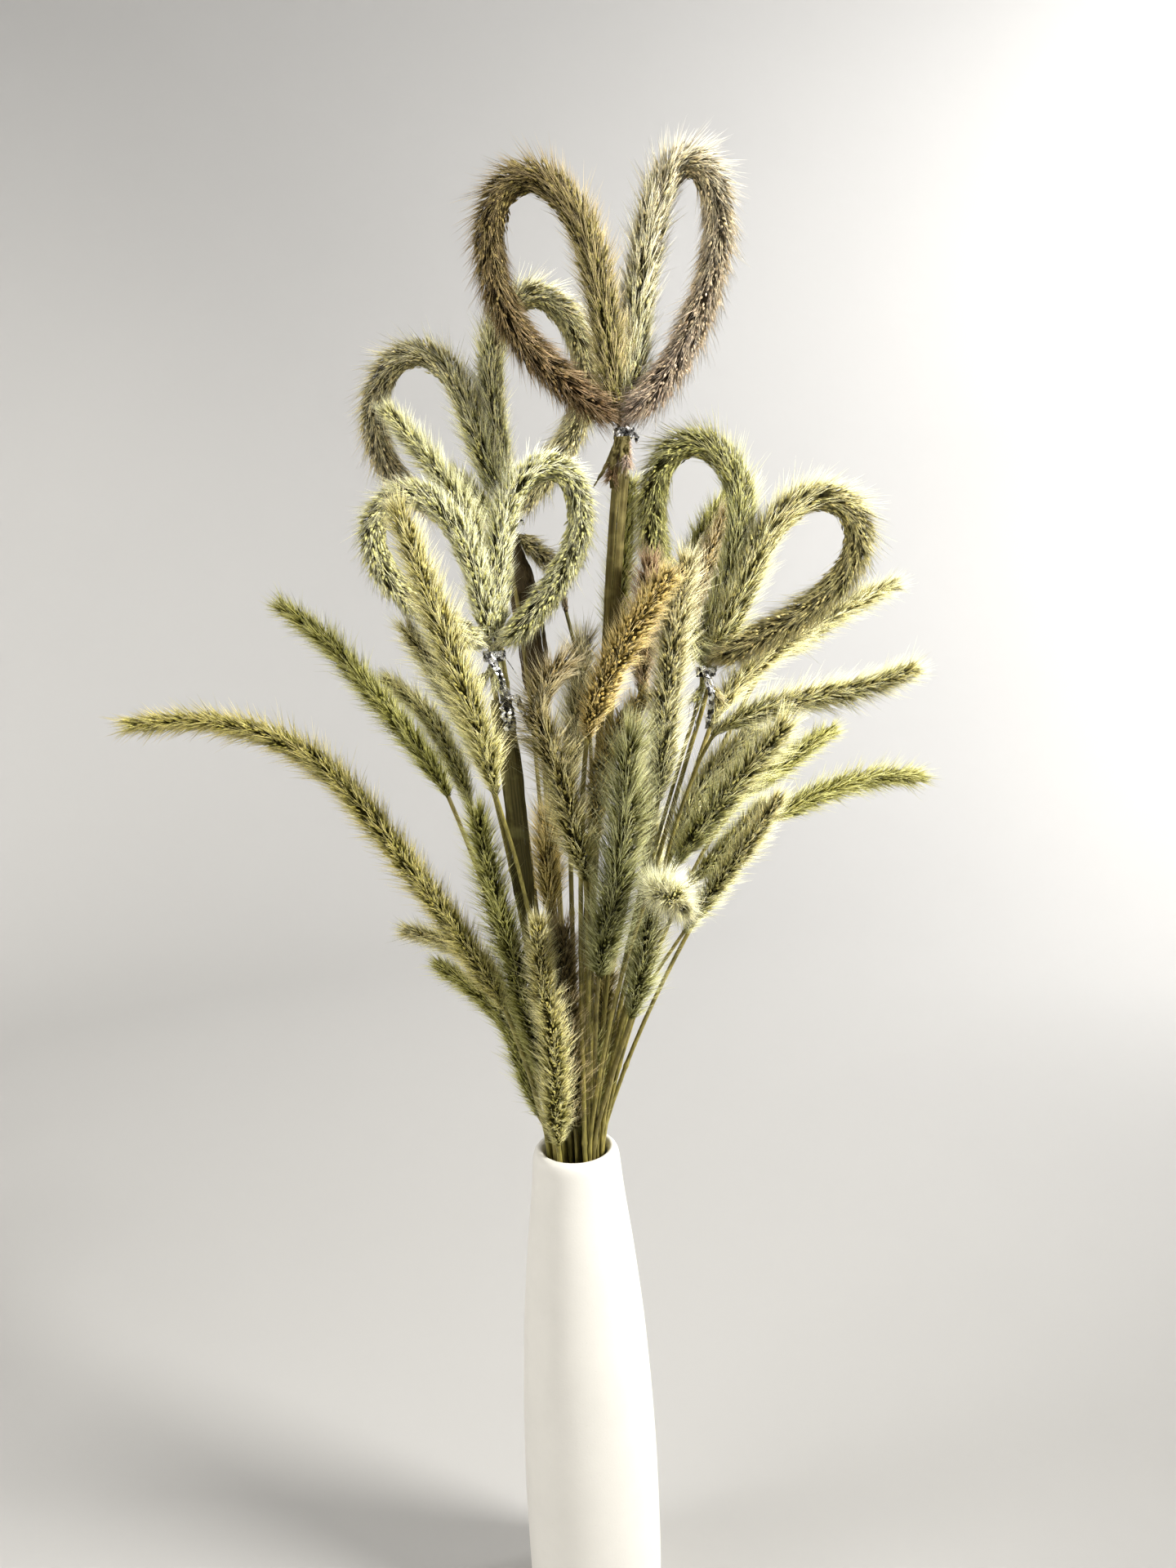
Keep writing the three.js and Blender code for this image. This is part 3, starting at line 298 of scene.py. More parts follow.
def curve_through(points, at):
    """Places on the smooth curve through the points, where at counts the points from 0."""
    points = np.asarray(points, float)
    held = np.vstack([2 * points[0] - points[1], points, 2 * points[-1] - points[-2]])
    i = np.minimum(at.astype(int), len(points) - 2)
    w = (at - i)[:, None]
    p0, p1, p2, p3 = (held[i + k] for k in range(4))
    d0, d1, d2 = (np.maximum(((b - a) ** 2).sum(1, keepdims=True) ** 0.25, 1e-4)
                  for a, b in ((p0, p1), (p1, p2), (p2, p3)))
    start = ((p1 - p0) / d0 - (p2 - p0) / (d0 + d1)) * d1 + p2 - p1
    end = ((p3 - p2) / d2 - (p3 - p1) / (d1 + d2)) * d1 + p2 - p1
    return p1 + w * start + w**2 * (3 * (p2 - p1) - 2 * start - end) + w**3 * (2 * (p1 - p2) + start + end)


def distances(places):
    """How far along the line each place lies."""
    return np.concatenate([[0], np.cumsum(np.linalg.norm(np.diff(places, axis=0), axis=1))])


def at_distances(places, along, at):
    """Places on the line at the given distances."""
    return np.stack([np.interp(at, along, places[:, k]) for k in range(3)], 1)


def spaced(route, start, stop, step):
    """Places spaced evenly along the route between two of its points."""
    dense = curve_through(route, np.arange(start * FINE, stop * FINE + 1) / FINE)
    along = distances(dense)
    count = max(1, int(along[-1] / step + 0.75))
    return at_distances(dense, along, along[-1] * np.arange(1, count + 1) / count)


def route_in_vase(neck):
    x, y = neck
    low, middle = LOW_SPREAD, MIDDLE_SPREAD
    return [(x * low, y * low, FOOT_HEIGHT), (x * low, y * low, LOW_HEIGHT),
            (x * middle, y * middle, MIDDLE_HEIGHT), (x, y, MOUTH_HEIGHT)]


# The legs inside the vase: the route's point where each ends, its step, and whether it has bristles.
LEGS_IN_VASE = [(stop, LONG_STEP, False) for stop in range(1, RINGS_IN_VASE)]


def rings_along(name, family, pinned, route, legs, reach_at):
    """A stalk as rings along its route. Each leg runs to a point of the route, in steps, with bristles or not."""
    places, in_head, start = [route[0]], [False], 0
    for stop, step, bristly in LEGS_IN_VASE + legs:
        found = spaced(route, start, stop, step)
        places.extend(found)
        in_head.extend([bristly] * len(found))
        start = stop
    places = np.array(places, float)
    first = in_head.index(True) - 1
    along = distances(places[first:])
    reach = np.full(len(places), float(STEM_RADIUS))
    reach[first:] = reach_at(along, along[-1])
    core = np.maximum(STEM_RADIUS, reach * CORE_SHARE)
    core[:first] = STEM_RADIUS
    return SimpleNamespace(name=name, family=family, pinned=pinned, places=places, reach=reach, core=core,
                           first=first)


def single_stalk(name, neck, head, reach, grass, ripe, stem=(), slim_tip=TIP_SHARE, seedy=0, fluff=FLUFF, puff=0,
                 shade=1):
    route = [*route_in_vase(neck), *stem, *head]
    legs = [(len(route) - len(head), STEM_STEP, False), (len(route) - 1, HEAD_STEP, True)]

    def reach_at(along, length):
        swell = smooth(along / min(HEAD_SWELL, length / 3))
        rounded = 1 - (1 - slim_tip) * smooth((along / length - ROUND_FROM) / (1 - ROUND_FROM))
        return STEM_RADIUS + (reach - STEM_RADIUS) * swell * rounded

    stalk = rings_along(name, name, False, route, legs, reach_at)
    stalk.grass, stalk.ripe, stalk.tail = grass, ripe, 0
    stalk.seedy, stalk.fluff, stalk.puff, stalk.shade = seedy, fluff, puff, shade
    return stalk


def loop_stalk(name, family, heart, half, side, tail):
    """One loop of a heart: up through the tie, round, back through the tie and out as a short tail."""
    x, y, z = heart["tie"]
    shift = np.array((side * STRAND_SIDE, STRAND_DEPTH, 0))
    front = y - STRAND_DEPTH
    stem_x = x + side * STRAND_SIDE
    dx, dy, dz = tail["step"]
    neck = np.add(heart["neck"], shift[:2])
    route = [
        *route_in_vase(neck), *(np.add(place, shift) for place in heart["stem"]),
        np.add((x, y, z - TIE_HALF), shift), np.add((x, y, z + TIE_HALF), shift), *half["loop"],
        (stem_x, front, z + TIE_HALF), (stem_x, front, z - TIE_HALF),
        (stem_x + dx / 2, front + dy / 2, z - TIE_HALF + dz * TAIL_DROP), (stem_x + dx, front + dy, z + dz),
    ]
    top = RINGS_IN_VASE + len(heart["stem"]) + 1
    back = top + len(half["loop"])
    legs = [(top - 1, STEM_STEP, False), (top, LONG_STEP, False), (back + 1, HEAD_STEP, True),
            (back + 2, LONG_STEP, True), (back + 4, TAIL_STEP, True)]
    tail_length = math.hypot(dx, dy, dz) + TIE_HALF + 1

    def reach_at(along, length):
        looped = length - tail_length
        swell = smooth(along / LOOP_SWELL) * smooth((looped - along) / LOOP_SWELL)
        tail_swell = smooth((along - looped - 2 * TIE_HALF) / TAIL_SWELL)
        return STEM_RADIUS + (half["reach"] - STEM_RADIUS) * swell + (tail["reach"] - STEM_RADIUS) * tail_swell

    stalk = rings_along(name, family, True, route, legs, reach_at)
    stalk.grass, stalk.ripe, stalk.tail = half["grass"], half["ripe"], tail_length
    stalk.seedy, stalk.puff = 0, 0
    stalk.fluff, stalk.shade = half.get("fluff", LOOP_FLUFF), half.get("shade", 1)
    return stalk


def sheath_rings(name, heart, half_width, top, bottom):
    """The stretch of a heart's pair of stems that a sheath folds round."""
    held = HEARTS[heart]
    x, y, z = held["tie"]
    middle = [(*held["neck"], MOUTH_HEIGHT), *held["stem"], (x, y, z - TIE_HALF), (x, y, z)]
    fine = curve_through(middle, np.linspace(0, len(middle) - 1, SHEATH_FINE))
    fine = fine[(fine[:, 2] >= bottom) & (fine[:, 2] <= top)]
    kept = np.floor((len(fine) - 1) * np.arange(SHEATH_RINGS) / (SHEATH_RINGS - 1) + 0.5).astype(int)
    wide = np.full(SHEATH_RINGS, float(half_width))
    return SimpleNamespace(name=name, family=heart, pinned=True, places=fine[kept] + (0, STRAND_DEPTH, 0),
                           reach=wide, core=wide, first=0)


def nearest_on(p, a, q, b):
    """For pairs of straight links, p to p + a and q to q + b: their nearest places as shares, and the step."""
    w = p - q
    aa, bb, ab = (a * a).sum(1), (b * b).sum(1), (a * b).sum(1)
    aw, bw = (a * w).sum(1), (b * w).sum(1)
    spread = aa * bb - ab * ab
    u = np.where(spread > 1e-6, np.clip((ab * bw - aw * bb) / np.maximum(spread, 1e-6), 0, 1), 0.5)
    v = (ab * u + bw) / bb
    u = np.where(v < 0, np.clip(-aw / aa, 0, 1), np.where(v > 1, np.clip((ab - aw) / aa, 0, 1), u))
    v = np.clip(v, 0, 1)
    return u, v, w + a * u[:, None] - b * v[:, None]


def bend_clear(chains):
    """Bends every stalk that is not tied clear of the others, mostly in depth, round by round."""
    places = np.vstack([one.places for one in chains])
    start = places.copy()
    sizes = [len(one.places) for one in chains]
    chain = np.repeat(np.arange(len(chains)), sizes)
    order = np.concatenate([np.arange(n) for n in sizes])
    index = np.arange(len(places))
    before = np.where(order == 0, index, index - 1)
    after = np.where(order == np.repeat(sizes, sizes) - 1, index, index + 1)
    pinned = np.array([one.pinned for one in chains])[chain]
    core = np.concatenate([one.core for one in chains])
    reach = np.concatenate([one.reach for one in chains])
    family = np.unique([one.family for one in chains], return_inverse=True)[1][chain]
    low, high = index[order > 0] - 1, index[order > 0]
    link_core, link_reach = np.maximum(core[low], core[high]), np.maximum(reach[low], reach[high])
    packed = link_core + PACK_SHARE * (link_reach - link_core)
    apart = np.triu(family[low][:, None] != family[low], 1) & ~(pinned[low][:, None] & pinned[low])
    room = np.full(len(places), np.inf)
    for i in range(RINGS_IN_VASE):
        at = (order == i) & ~pinned
        room[at] = ROOM_IN_VASE[i] - core[at]
    in_vase = (order < RINGS_IN_VASE) & ~pinned
    feet = index[(order == 0) & ~pinned]
    for _ in range(ROUNDS):
        links = places[high] - places[low]
        middle = (places[high] + places[low]) / 2
        wide = np.linalg.norm(links, axis=1) / 2 + link_reach + GAP / 2
        far = wide[:, None] + wide
        z = middle[:, 2]
        i, j = np.nonzero(apart & (np.abs(z[:, None] - z) < far))
        close = ((middle[i] - middle[j]) ** 2).sum(1) < far[i, j] ** 2
        i, j = i[close], j[close]
        u, v, step = nearest_on(places[low[i]], links[i], places[low[j]], links[j])
        distance = np.maximum(np.linalg.norm(step, axis=1), 1e-6)
        short = packed[i] + packed[j] + 2 * GAP - distance
        both = ~(pinned[low[i]] | pinned[low[j]])
        step *= (short * np.where(both, 0.5, 1) / distance)[:, None] * GIVE
        push, hits = np.zeros_like(places), np.zeros(len(places))
        for end, weight, sign in ((low[i], 1 - u, 1), (high[i], u, 1), (low[j], 1 - v, -1), (high[j], v, -1)):
            moved = (short > 0) & (weight > LEAST_WEIGHT) & ~pinned[end]
            np.add.at(push, end[moved], sign * step[moved])
            np.add.at(hits, end[moved], 1)
        push *= (PUSH_BOOST / np.maximum(hits, 1))[:, None]
        push[in_vase, 2] = 0
        shift = places - start + push
        eased = shift * (1 - 2 * EASE) + EASE * (shift[before] + shift[after])
        eased[in_vase, 2] = 0
        eased[pinned] = 0
        places = start + eased
        out = np.maximum(np.hypot(places[:, 0], places[:, 1]), 1e-9)
        places[:, :2] *= np.minimum(1, room / out)[:, None]
        places[feet, :2] = places[feet + 1, :2]
    for k, one in enumerate(chains):
        one.places = places[chain == k]


@functools.cache
def bouquet():
    """Every stalk and sheath by name, bent clear of its neighbours."""
    chains = [single_stalk(name, **data) for name, data in STALKS.items()]
    for family, heart in HEARTS.items():
        for word, side, tail in (("left", -1, heart["tails"][0]), ("right", 1, heart["tails"][1])):
            chains.append(loop_stalk(f"{family}_{word}_stalk", family, heart, heart[word], side, tail))
    chains += [sheath_rings(name, **data) for name, data in SHEATHS.items()]
    bend_clear(chains)
    return {one.name: one for one in chains}


# Shapes that are modelled once and copied. Across a piece's own map, each kind of part has a band from its root
# to its tip, and up the map it goes from young to ripe.

GROWTH = "Growth"
SEED_BAND = (0.02, 0.30)
BRISTLE_BAND = (0.35, 0.63)
STRAW_BAND = (0.68, 0.98)
YOUNGEST = 0.02
RIPEST = 0.98
STRAW_SIDES = 7
STRAW_RINGS = 110
# The cone's share of a seed's length, how near its axis the point of its root lies, and its depth over its
# width.
SEED_CONE = 0.58
SEED_MIDDLE = 0.1
SEED_DEPTH = 0.85


def start_clear(piece=None):
    """Nothing selected but the piece, if one is given, and no edit mode, so that the next operator acts on it."""
    if bpy.context.object and bpy.context.object.mode != "OBJECT":
        bpy.ops.object.mode_set(mode="OBJECT")
    for other in bpy.context.selected_objects:
        other.select_set(False)
    bpy.context.view_layer.objects.active = piece
    if piece:
        piece.select_set(True)


def shaped(name):
    """The shape just modelled, back in object mode, with its place in its mesh."""
    piece = bpy.context.object
    if piece.mode != "OBJECT":
        bpy.ops.object.mode_set(mode="OBJECT")
    bpy.ops.object.transform_apply(location=True, rotation=True, scale=True)
    piece.name = piece.data.name = name
    return piece


def closed_shape(name):
    """The shape just modelled in edit mode, with its faces turned outward."""
    bpy.ops.mesh.select_all(action="SELECT")
    bpy.ops.mesh.normals_make_consistent(inside=False)
    return shaped(name)


def pattern_of(piece):
    """A blank's points and triangles as arrays. The blank itself is taken away."""
    mesh = piece.data
    mesh.calc_loop_triangles()
    points = np.empty(len(mesh.vertices) * 3)
    faces = np.empty(len(mesh.loop_triangles) * 3, int)
    mesh.vertices.foreach_get("co", points)
    mesh.loop_triangles.foreach_get("vertices", faces)
    bpy.data.objects.remove(piece)
    bpy.data.meshes.remove(mesh)
    return SimpleNamespace(points=points.reshape(-1, 3), faces=faces.reshape(-1, 3))


@functools.cache
def bristle_blank():
    """A bristle 1 long, 1 in radius at its root: a three-sided cone, drawn out to a point."""
    start_clear()
    bpy.ops.mesh.primitive_cone_add(vertices=3, radius1=1, radius2=0, depth=1, location=(0, 0, 0.5),
                                    end_fill_type="NGON")
    return pattern_of(shaped("bristle"))


@functools.cache
def seed_blank():
    """A seed 1 long on +Z from its root: a cone whose base is drawn down to a blunt root, slightly flattened."""
    start_clear()
    bpy.ops.mesh.primitive_cone_add(vertices=6, radius1=0.5, radius2=0, depth=SEED_CONE,
                                    location=(0, 0, 1 - SEED_CONE / 2), end_fill_type="TRIFAN")
    seed = bpy.context.object
    bpy.ops.object.mode_set(mode="EDIT")
    bpy.ops.mesh.select_all(action="DESELECT")
    mesh = bmesh.from_edit_mesh(seed.data)
    for vertex in mesh.verts:
        vertex.select = vertex.co.z < 0 and vertex.co.xy.length < SEED_MIDDLE
    mesh.select_flush_mode()
    bmesh.update_edit_mesh(seed.data)
    bpy.ops.transform.translate(value=(0, 0, SEED_CONE - 1))
    bpy.ops.mesh.select_all(action="SELECT")
    bpy.ops.transform.resize(value=(1, SEED_DEPTH, 1), center_override=(0, 0, 0))
    return pattern_of(shaped("seed"))


@functools.cache
def straw_blank():
    """A straight straw 1 long and 1 in radius, extruded ring by ring, closed at both ends."""
    start_clear()
    bpy.ops.mesh.primitive_circle_add(vertices=STRAW_SIDES, radius=1, fill_type="NGON")
    bpy.ops.object.mode_set(mode="EDIT")
    for _ in range(STRAW_RINGS - 1):
        bpy.ops.mesh.extrude_region_move(TRANSFORM_OT_translate={"value": (0, 0, 1 / (STRAW_RINGS - 1))})
    return pattern_of(closed_shape("straw"))


def new_piece(name, points, faces, growth, kinds):
    """A mesh object from arrays. growth is each point's place on the piece's own map, kinds each face's material."""
    mesh = bpy.data.meshes.new(name)
    mesh.vertices.add(len(points))
    mesh.vertices.foreach_set("co", np.ascontiguousarray(points, np.float32).ravel())
    mesh.loops.add(faces.size)
    mesh.loops.foreach_set("vertex_index", np.ascontiguousarray(faces, np.int32).ravel())
    mesh.polygons.add(len(faces))
    mesh.polygons.foreach_set("loop_start", np.arange(0, faces.size, 3, dtype=np.int32))
    mesh.polygons.foreach_set("material_index", np.ascontiguousarray(kinds, np.int32))
    mesh.update(calc_edges=True)
    layer = mesh.uv_layers.new(name=GROWTH)
    layer.uv.foreach_set("vector", np.ascontiguousarray(growth[faces.ravel()], np.float32).ravel())
    mesh.shade_smooth()
    piece = bpy.data.objects.new(name, mesh)
    bpy.context.scene.collection.objects.link(piece)
    return piece


def planted(blank, roots, side, along, wide, deep, long):
    """A copy of the blank at each root, turned so that its +Z runs along, as one array of points and one of faces."""
    third = np.cross(along, side)
    p = blank.points
    points = (roots[:, None]
              + side[:, None] * (p[:, 0, None] * wide[:, None, None])
              + third[:, None] * (p[:, 1, None] * deep[:, None, None])
              + along[:, None] * (p[:, 2, None] * long[:, None, None]))
    faces = blank.faces + (np.arange(len(roots)) * len(p))[:, None, None]
    return points.reshape(-1, 3), faces.reshape(-1, 3)


def band(share, limits):
    return limits[0] + (limits[1] - limits[0]) * share


# Stations along a stalk: evenly spaced places with frames that do not twist.

STATION_STEP = 2.0
# A head's seeds sit on its inner side where it is bent: the radius of a full bend, how far they move, the length
# over which the move sets in, and the stations over which a bend is evened out.
BEND_RADIUS = 34
BODY_SHIFT = 0.2
BODY_SHIFT_LENGTH = 15
BEND_WINDOW = 9


def stations(stalk):
    at = np.arange((len(stalk.places) - 1) * FINE + 1) / FINE
    dense = curve_through(stalk.places, at)
    along = distances(dense)
    s = np.linspace(0, along[-1], int(along[-1] / STATION_STEP) + 1)
    place = at_distances(dense, along, s)
    ring = np.interp(s, along, at)
    tangent = unit(np.gradient(place, s, axis=0))
    side = np.empty_like(place)
    turned = np.array((1.0, 0, 0))
    for i, direction in enumerate(tangent):
        turned = turned - direction * (turned @ direction)
        turned /= math.sqrt(turned @ turned)
        side[i] = turned
    bend = np.gradient(tangent, s, axis=0) * BEND_RADIUS
    even = np.ones(BEND_WINDOW) / BEND_WINDOW
    bend = np.stack([np.convolve(np.pad(bend[:, k], BEND_WINDOW // 2, mode="edge"), even, "valid")
                     for k in range(3)], 1)
    bend /= np.maximum(np.linalg.norm(bend, axis=1, keepdims=True), 1)
    reach = np.interp(ring, np.arange(len(stalk.places)), stalk.reach)
    base = float(np.interp(stalk.first, at, along))
    place = place + bend * (reach * BODY_SHIFT * smooth((s - base) / BODY_SHIFT_LENGTH))[:, None]
    return SimpleNamespace(s=s, place=place, tangent=tangent, side=side, bend=bend, reach=reach, base=base)


def at_stations(line, s):
    """Place, frame, reach and bend at distances along the stalk."""
    at = np.clip(s, line.s[0], line.s[-1]) / (line.s[1] - line.s[0])
    i = np.minimum(at.astype(int), len(line.s) - 2)
    w = (at - i)[:, None]

    def between(values):
        return values[i] * (1 - w) + values[i + 1] * w

    tangent = unit(between(line.tangent))
    side = between(line.side)
    side = unit(side - tangent * (side * tangent).sum(1, keepdims=True))
    return SimpleNamespace(place=between(line.place), tangent=tangent, side=side, across=np.cross(tangent, side),
                           bend=between(line.bend))


def outward(frames, angle):
    return frames.side * np.cos(angle)[:, None] + frames.across * np.sin(angle)[:, None]


# The parts of one stalk. Lengths are in millimetres.

# A stem's joints: where the first may be, how far apart they are and how far from the head they end, with half
# their width, their swelling, and the places of the rings on each.
FIRST_JOINT = 60
FIRST_JOINT_SPREAD = 50
JOINT_EVERY = 118
JOINT_CLEAR = 25
JOINT_HALF = 1.6
JOINT_SWELL = 0.32
JOINT_RINGS = (-3, -1, 0, 1, 3)
NO_JOINT = 99.0
# How much a stem thins and ripens over its length, and how thin its end is.
STEM_TAPER = 0.22
STEM_RIPENS = 0.35
STEM_END = 0.3
# Its stretch inside the head: a share of the body's radius, the least, the length over which it sets in, and
# its share of the rings.
INNER_SHARE = 0.7
INNER_LEAST = 0.5
INNER_LENGTH = 6
INNER_RINGS = 0.58

# The seed-covered body's share of the bristles' reach: in straight heads, more in loops and in seedy heads.
BODY_SHARE = 0.46
LOOP_BODY = 0.08
SEEDY_BODY = 0.12
BODY_LEAST = 0.9
BASE_REACH = 1.4
# The lengths over which straight heads and loops grow full.
HEAD_RISE = 20
LOOP_RISE = 15

# Seeds and tufts follow one spiral, a little off it at random.
GOLDEN_ANGLE = math.pi * (3 - math.sqrt(5))
SPIRAL_SPREAD = 0.3
SKEW_SPREAD = 0.2

# Seeds: the ends of the head that they leave bare, the lumps of the body, their lean, how their length differs
# and shrinks where the body is slim, and how deep they are sunk in.
SEED_START = 1.5
SEED_BARE = 2
LUMP_HEIGHT = 0.1
LUMP_TURNS = 1.1
LUMP_SPREAD = 0.06
SEED_LEAN = 0.62
SEED_LEAN_SPREAD = 0.15
SEED_LENGTHS = (0.75, 1.2)
SEED_FULL_BODY = 3
SEED_LEAST = 0.6
SEED_SUNK = 0.7
SEED_RIPE_SPREAD = 0.06
# What a seedy head changes: shorter and wider seeds, and bristles that lean out more.
SEEDY_SHORTER = 0.3
SEEDY_WIDER = 0.28
SEEDY_LEAN = 0.25

# Tufts of bristles: the ends of the head that they leave bare, those at its very tip, the length over which
# they close in there, and how their lean and length differ.
TUFT_START = 0.5
TUFT_BARE = 0.8
TIP_TUFTS = 22
TIP_STRETCH = 4
TIP_LENGTH = 9
TIP_CLOSING = 0.85
CLOSING = 0.25
CLOSING_LENGTH = 14
LEAN_LIMITS = (0.05, 1.35)
LEAN_SPREAD = 0.07
LOOP_LEAN = 0.74
# How much bristles lie flatter inside a bend and stand wider outside it.
BEND_FLATTENS = 0.72
BEND_SPREADS = 0.45
TUFT_LENGTHS = (0.8, 1.1)
TUFT_LEAST = 0.62
LOOP_TUFT_LEAST = 0.35
# Single bristles: how far apart a tuft's roots and tips lie, the depth of its roots, and how they differ.
TUFT_SIZE = 0.8
TUFT_FLATNESS = 0.8
TUFT_TIPS = 0.15
ROOT_DEPTHS = (0.5, 0.95)
ROOT_MIDDLE = 0.75
BRISTLE_LENGTHS = (0.55, 1.06)
BRISTLE_WIDTHS = (0.75, 1.25)
STRAY_LONGER = 0.12
STRAY_FROM = 0.93
TUFT_RIPE_SPREAD = 0.07
BRISTLE_RIPE_SPREAD = 0.012
# What a puff changes: more tufts, above all at its tip, with shorter bristles that are pale from their roots.
PUFF_TUFTS = 2
PUFF_TIP_TUFTS = 5
PUFF_SHORTER = 0.25
PUFF_TIP_SHORTER = 0.3
PUFF_PALE = 0.45

STRAW_WIDTHS = (0.95, 1.45)
STRAW_TONES = (0.1, 0.5)


def on_map(across, ripe):
    """Places on the piece's own map."""
    return np.stack([across, np.clip(ripe, YOUNGEST, RIPEST)], 1)


def straw(stalk, line, look, draw):
    """The stem, with its joints and its stretch inside the head: the straw blank laid along the stations."""
    length = line.s[-1]
    joints = np.arange(FIRST_JOINT + FIRST_JOINT_SPREAD * draw.random(), line.base - JOINT_CLEAR, JOINT_EVERY)
    marks = np.concatenate([joints + step * JOINT_HALF for step in JOINT_RINGS])
    plain = STRAW_RINGS - len(marks)
    in_head = int(plain * INNER_RINGS)
    stem = np.linspace(0, line.base, plain - in_head, endpoint=False)
    s = np.sort(np.concatenate([marks, stem, np.linspace(line.base, length, in_head)]))
    frames = at_stations(line, s)
    nearest = np.abs(s[:, None] - joints).min(1) if len(joints) else np.full(len(s), NO_JOINT)
    radius = look.straw * (1 - STEM_TAPER * s / length)
    radius = radius * (1 + JOINT_SWELL * np.exp(-(nearest / JOINT_HALF) ** 2))
    head = np.clip((s - line.base) / INNER_LENGTH, 0, 1)
    radius = radius * (1 - head) + np.maximum(body_of(stalk, line, s) * INNER_SHARE, INNER_LEAST) * head
    radius[-1] *= STEM_END
    blank = straw_blank()
    ring = np.rint(blank.points[:, 2] * (STRAW_RINGS - 1)).astype(int)
    angle = np.arctan2(blank.points[:, 1], blank.points[:, 0])
    around = outward(SimpleNamespace(side=frames.side[ring], across=frames.across[ring]), angle)
    points = frames.place[ring] + around * radius[ring, None]
    # Inside the head it takes the dark root end of the seeds' band, painted shade that makes it look shaded between
    # them.
    hidden = s[ring] > line.base
    across = np.where(hidden, SEED_BAND[0], band(0.5 + 0.5 * np.sin(angle), STRAW_BAND))
    tone = np.where(hidden, ripeness(stalk, line, s[ring]), look.straw_tone + STEM_RIPENS * s[ring] / length)
    return points, blank.faces, on_map(across, tone), np.where(hidden[blank.faces].all(1), 1, 0)


def ripeness(stalk, line, s):
    return np.interp((s - line.base) / (line.s[-1] - line.base), (0, 1), stalk.ripe)


def swell_of(stalk, line, s):
    """How full the head is at distances along the stalk, from 0 at its base to 1."""
    length = line.s[-1] - line.base
    along = s - line.base
    if stalk.tail:
        looped = length - stalk.tail
        in_tie = smooth((looped - along) / LOOP_RISE) + smooth((along - looped - 2 * TIE_HALF) / TAIL_SWELL)
        return smooth(along / LOOP_RISE) * np.clip(in_tie, 0, 1)
    return smooth(along / min(HEAD_RISE, length / 3))


def fullest(stalk):
    return float(stalk.reach.max())


def reach_of(stalk, line, s):
    """How far the bristles reach from the middle, which swells sooner here than in the solid."""
    length = line.s[-1] - line.base
    along = s - line.base
    full = swell_of(stalk, line, s)
    if stalk.tail:
        most = np.where(along > length - stalk.tail + TIE_HALF, float(stalk.reach[-1]), fullest(stalk))
        return BASE_REACH + (most - BASE_REACH) * full
    held = np.interp(s, line.s, line.reach)
    swollen = BASE_REACH + (np.interp(line.base + HEAD_SWELL, line.s, line.reach) - BASE_REACH) * full
    return np.maximum(held, swollen * (along < HEAD_SWELL))


def body_of(stalk, line, s):
    """Radius of the seed-covered body. It stays blunt at the head's tip."""
    share = BODY_SHARE + (LOOP_BODY if stalk.tail else 0) + SEEDY_BODY * stalk.seedy
    return np.maximum(reach_of(stalk, line, s) * share, BODY_LEAST)


def near_tip(line, s, length):
    """From 0 before the last stretch of the head to 1 at its tip."""
    return smooth((s - line.s[-1] + length) / length)


def leaning(stalk, line, frames, out, s, lean, closing):
    """Angle off the head's line: flat inside a bend, wide outside it, closing in at the head's tip."""
    inward = (frames.bend * out).sum(1)
    lean = lean * (1 - np.where(inward > 0, BEND_FLATTENS, BEND_SPREADS) * inward)
    return lean if stalk.tail else lean * (1 - closing * near_tip(line, s, CLOSING_LENGTH))


def seeds(stalk, line, look, draw):
    """Seeds set round the head in a spiral, leaning to its tip."""
    length = line.s[-1] - line.base
    count = int(length * look.seeds)
    k = np.arange(count)
    s = line.base + SEED_START + (length - SEED_BARE) * (k + draw.random(count)) / count
    frames = at_stations(line, s)
    angle = GOLDEN_ANGLE * k + draw.normal(0, SPIRAL_SPREAD, count)
    out = outward(frames, angle)
    body = body_of(stalk, line, s)
    lumps = 1 + LUMP_HEIGHT * np.sin(s * LUMP_TURNS + 2 * angle) + draw.normal(0, LUMP_SPREAD, count)
    lean = leaning(stalk, line, frames, out, s, SEED_LEAN, look.closing)
    lean = lean + draw.normal(0, SEED_LEAN_SPREAD, count)
    along = frames.tangent * np.cos(lean)[:, None] + out * np.sin(lean)[:, None]
    along = unit(along + np.cross(out, frames.tangent) * draw.normal(0, SKEW_SPREAD, count)[:, None])
    side = unit(np.cross(along, out))
    size = look.seed_length * draw.uniform(*SEED_LENGTHS, count) * np.clip(body / SEED_FULL_BODY, SEED_LEAST, 1)
    wide = look.seed_width / look.seed_length * size
    roots = frames.place + out * (body * lumps - wide * SEED_SUNK)[:, None]
    blank = seed_blank()
    points, faces = planted(blank, roots, side, along, wide, wide * SEED_DEPTH, size)
    ripe = ripeness(stalk, line, s) + draw.normal(0, SEED_RIPE_SPREAD, count)
    growth = on_map(band(np.tile(blank.points[:, 2], count), SEED_BAND), np.repeat(ripe, len(blank.points)))
    return points, faces, growth, np.ones(len(faces), int)


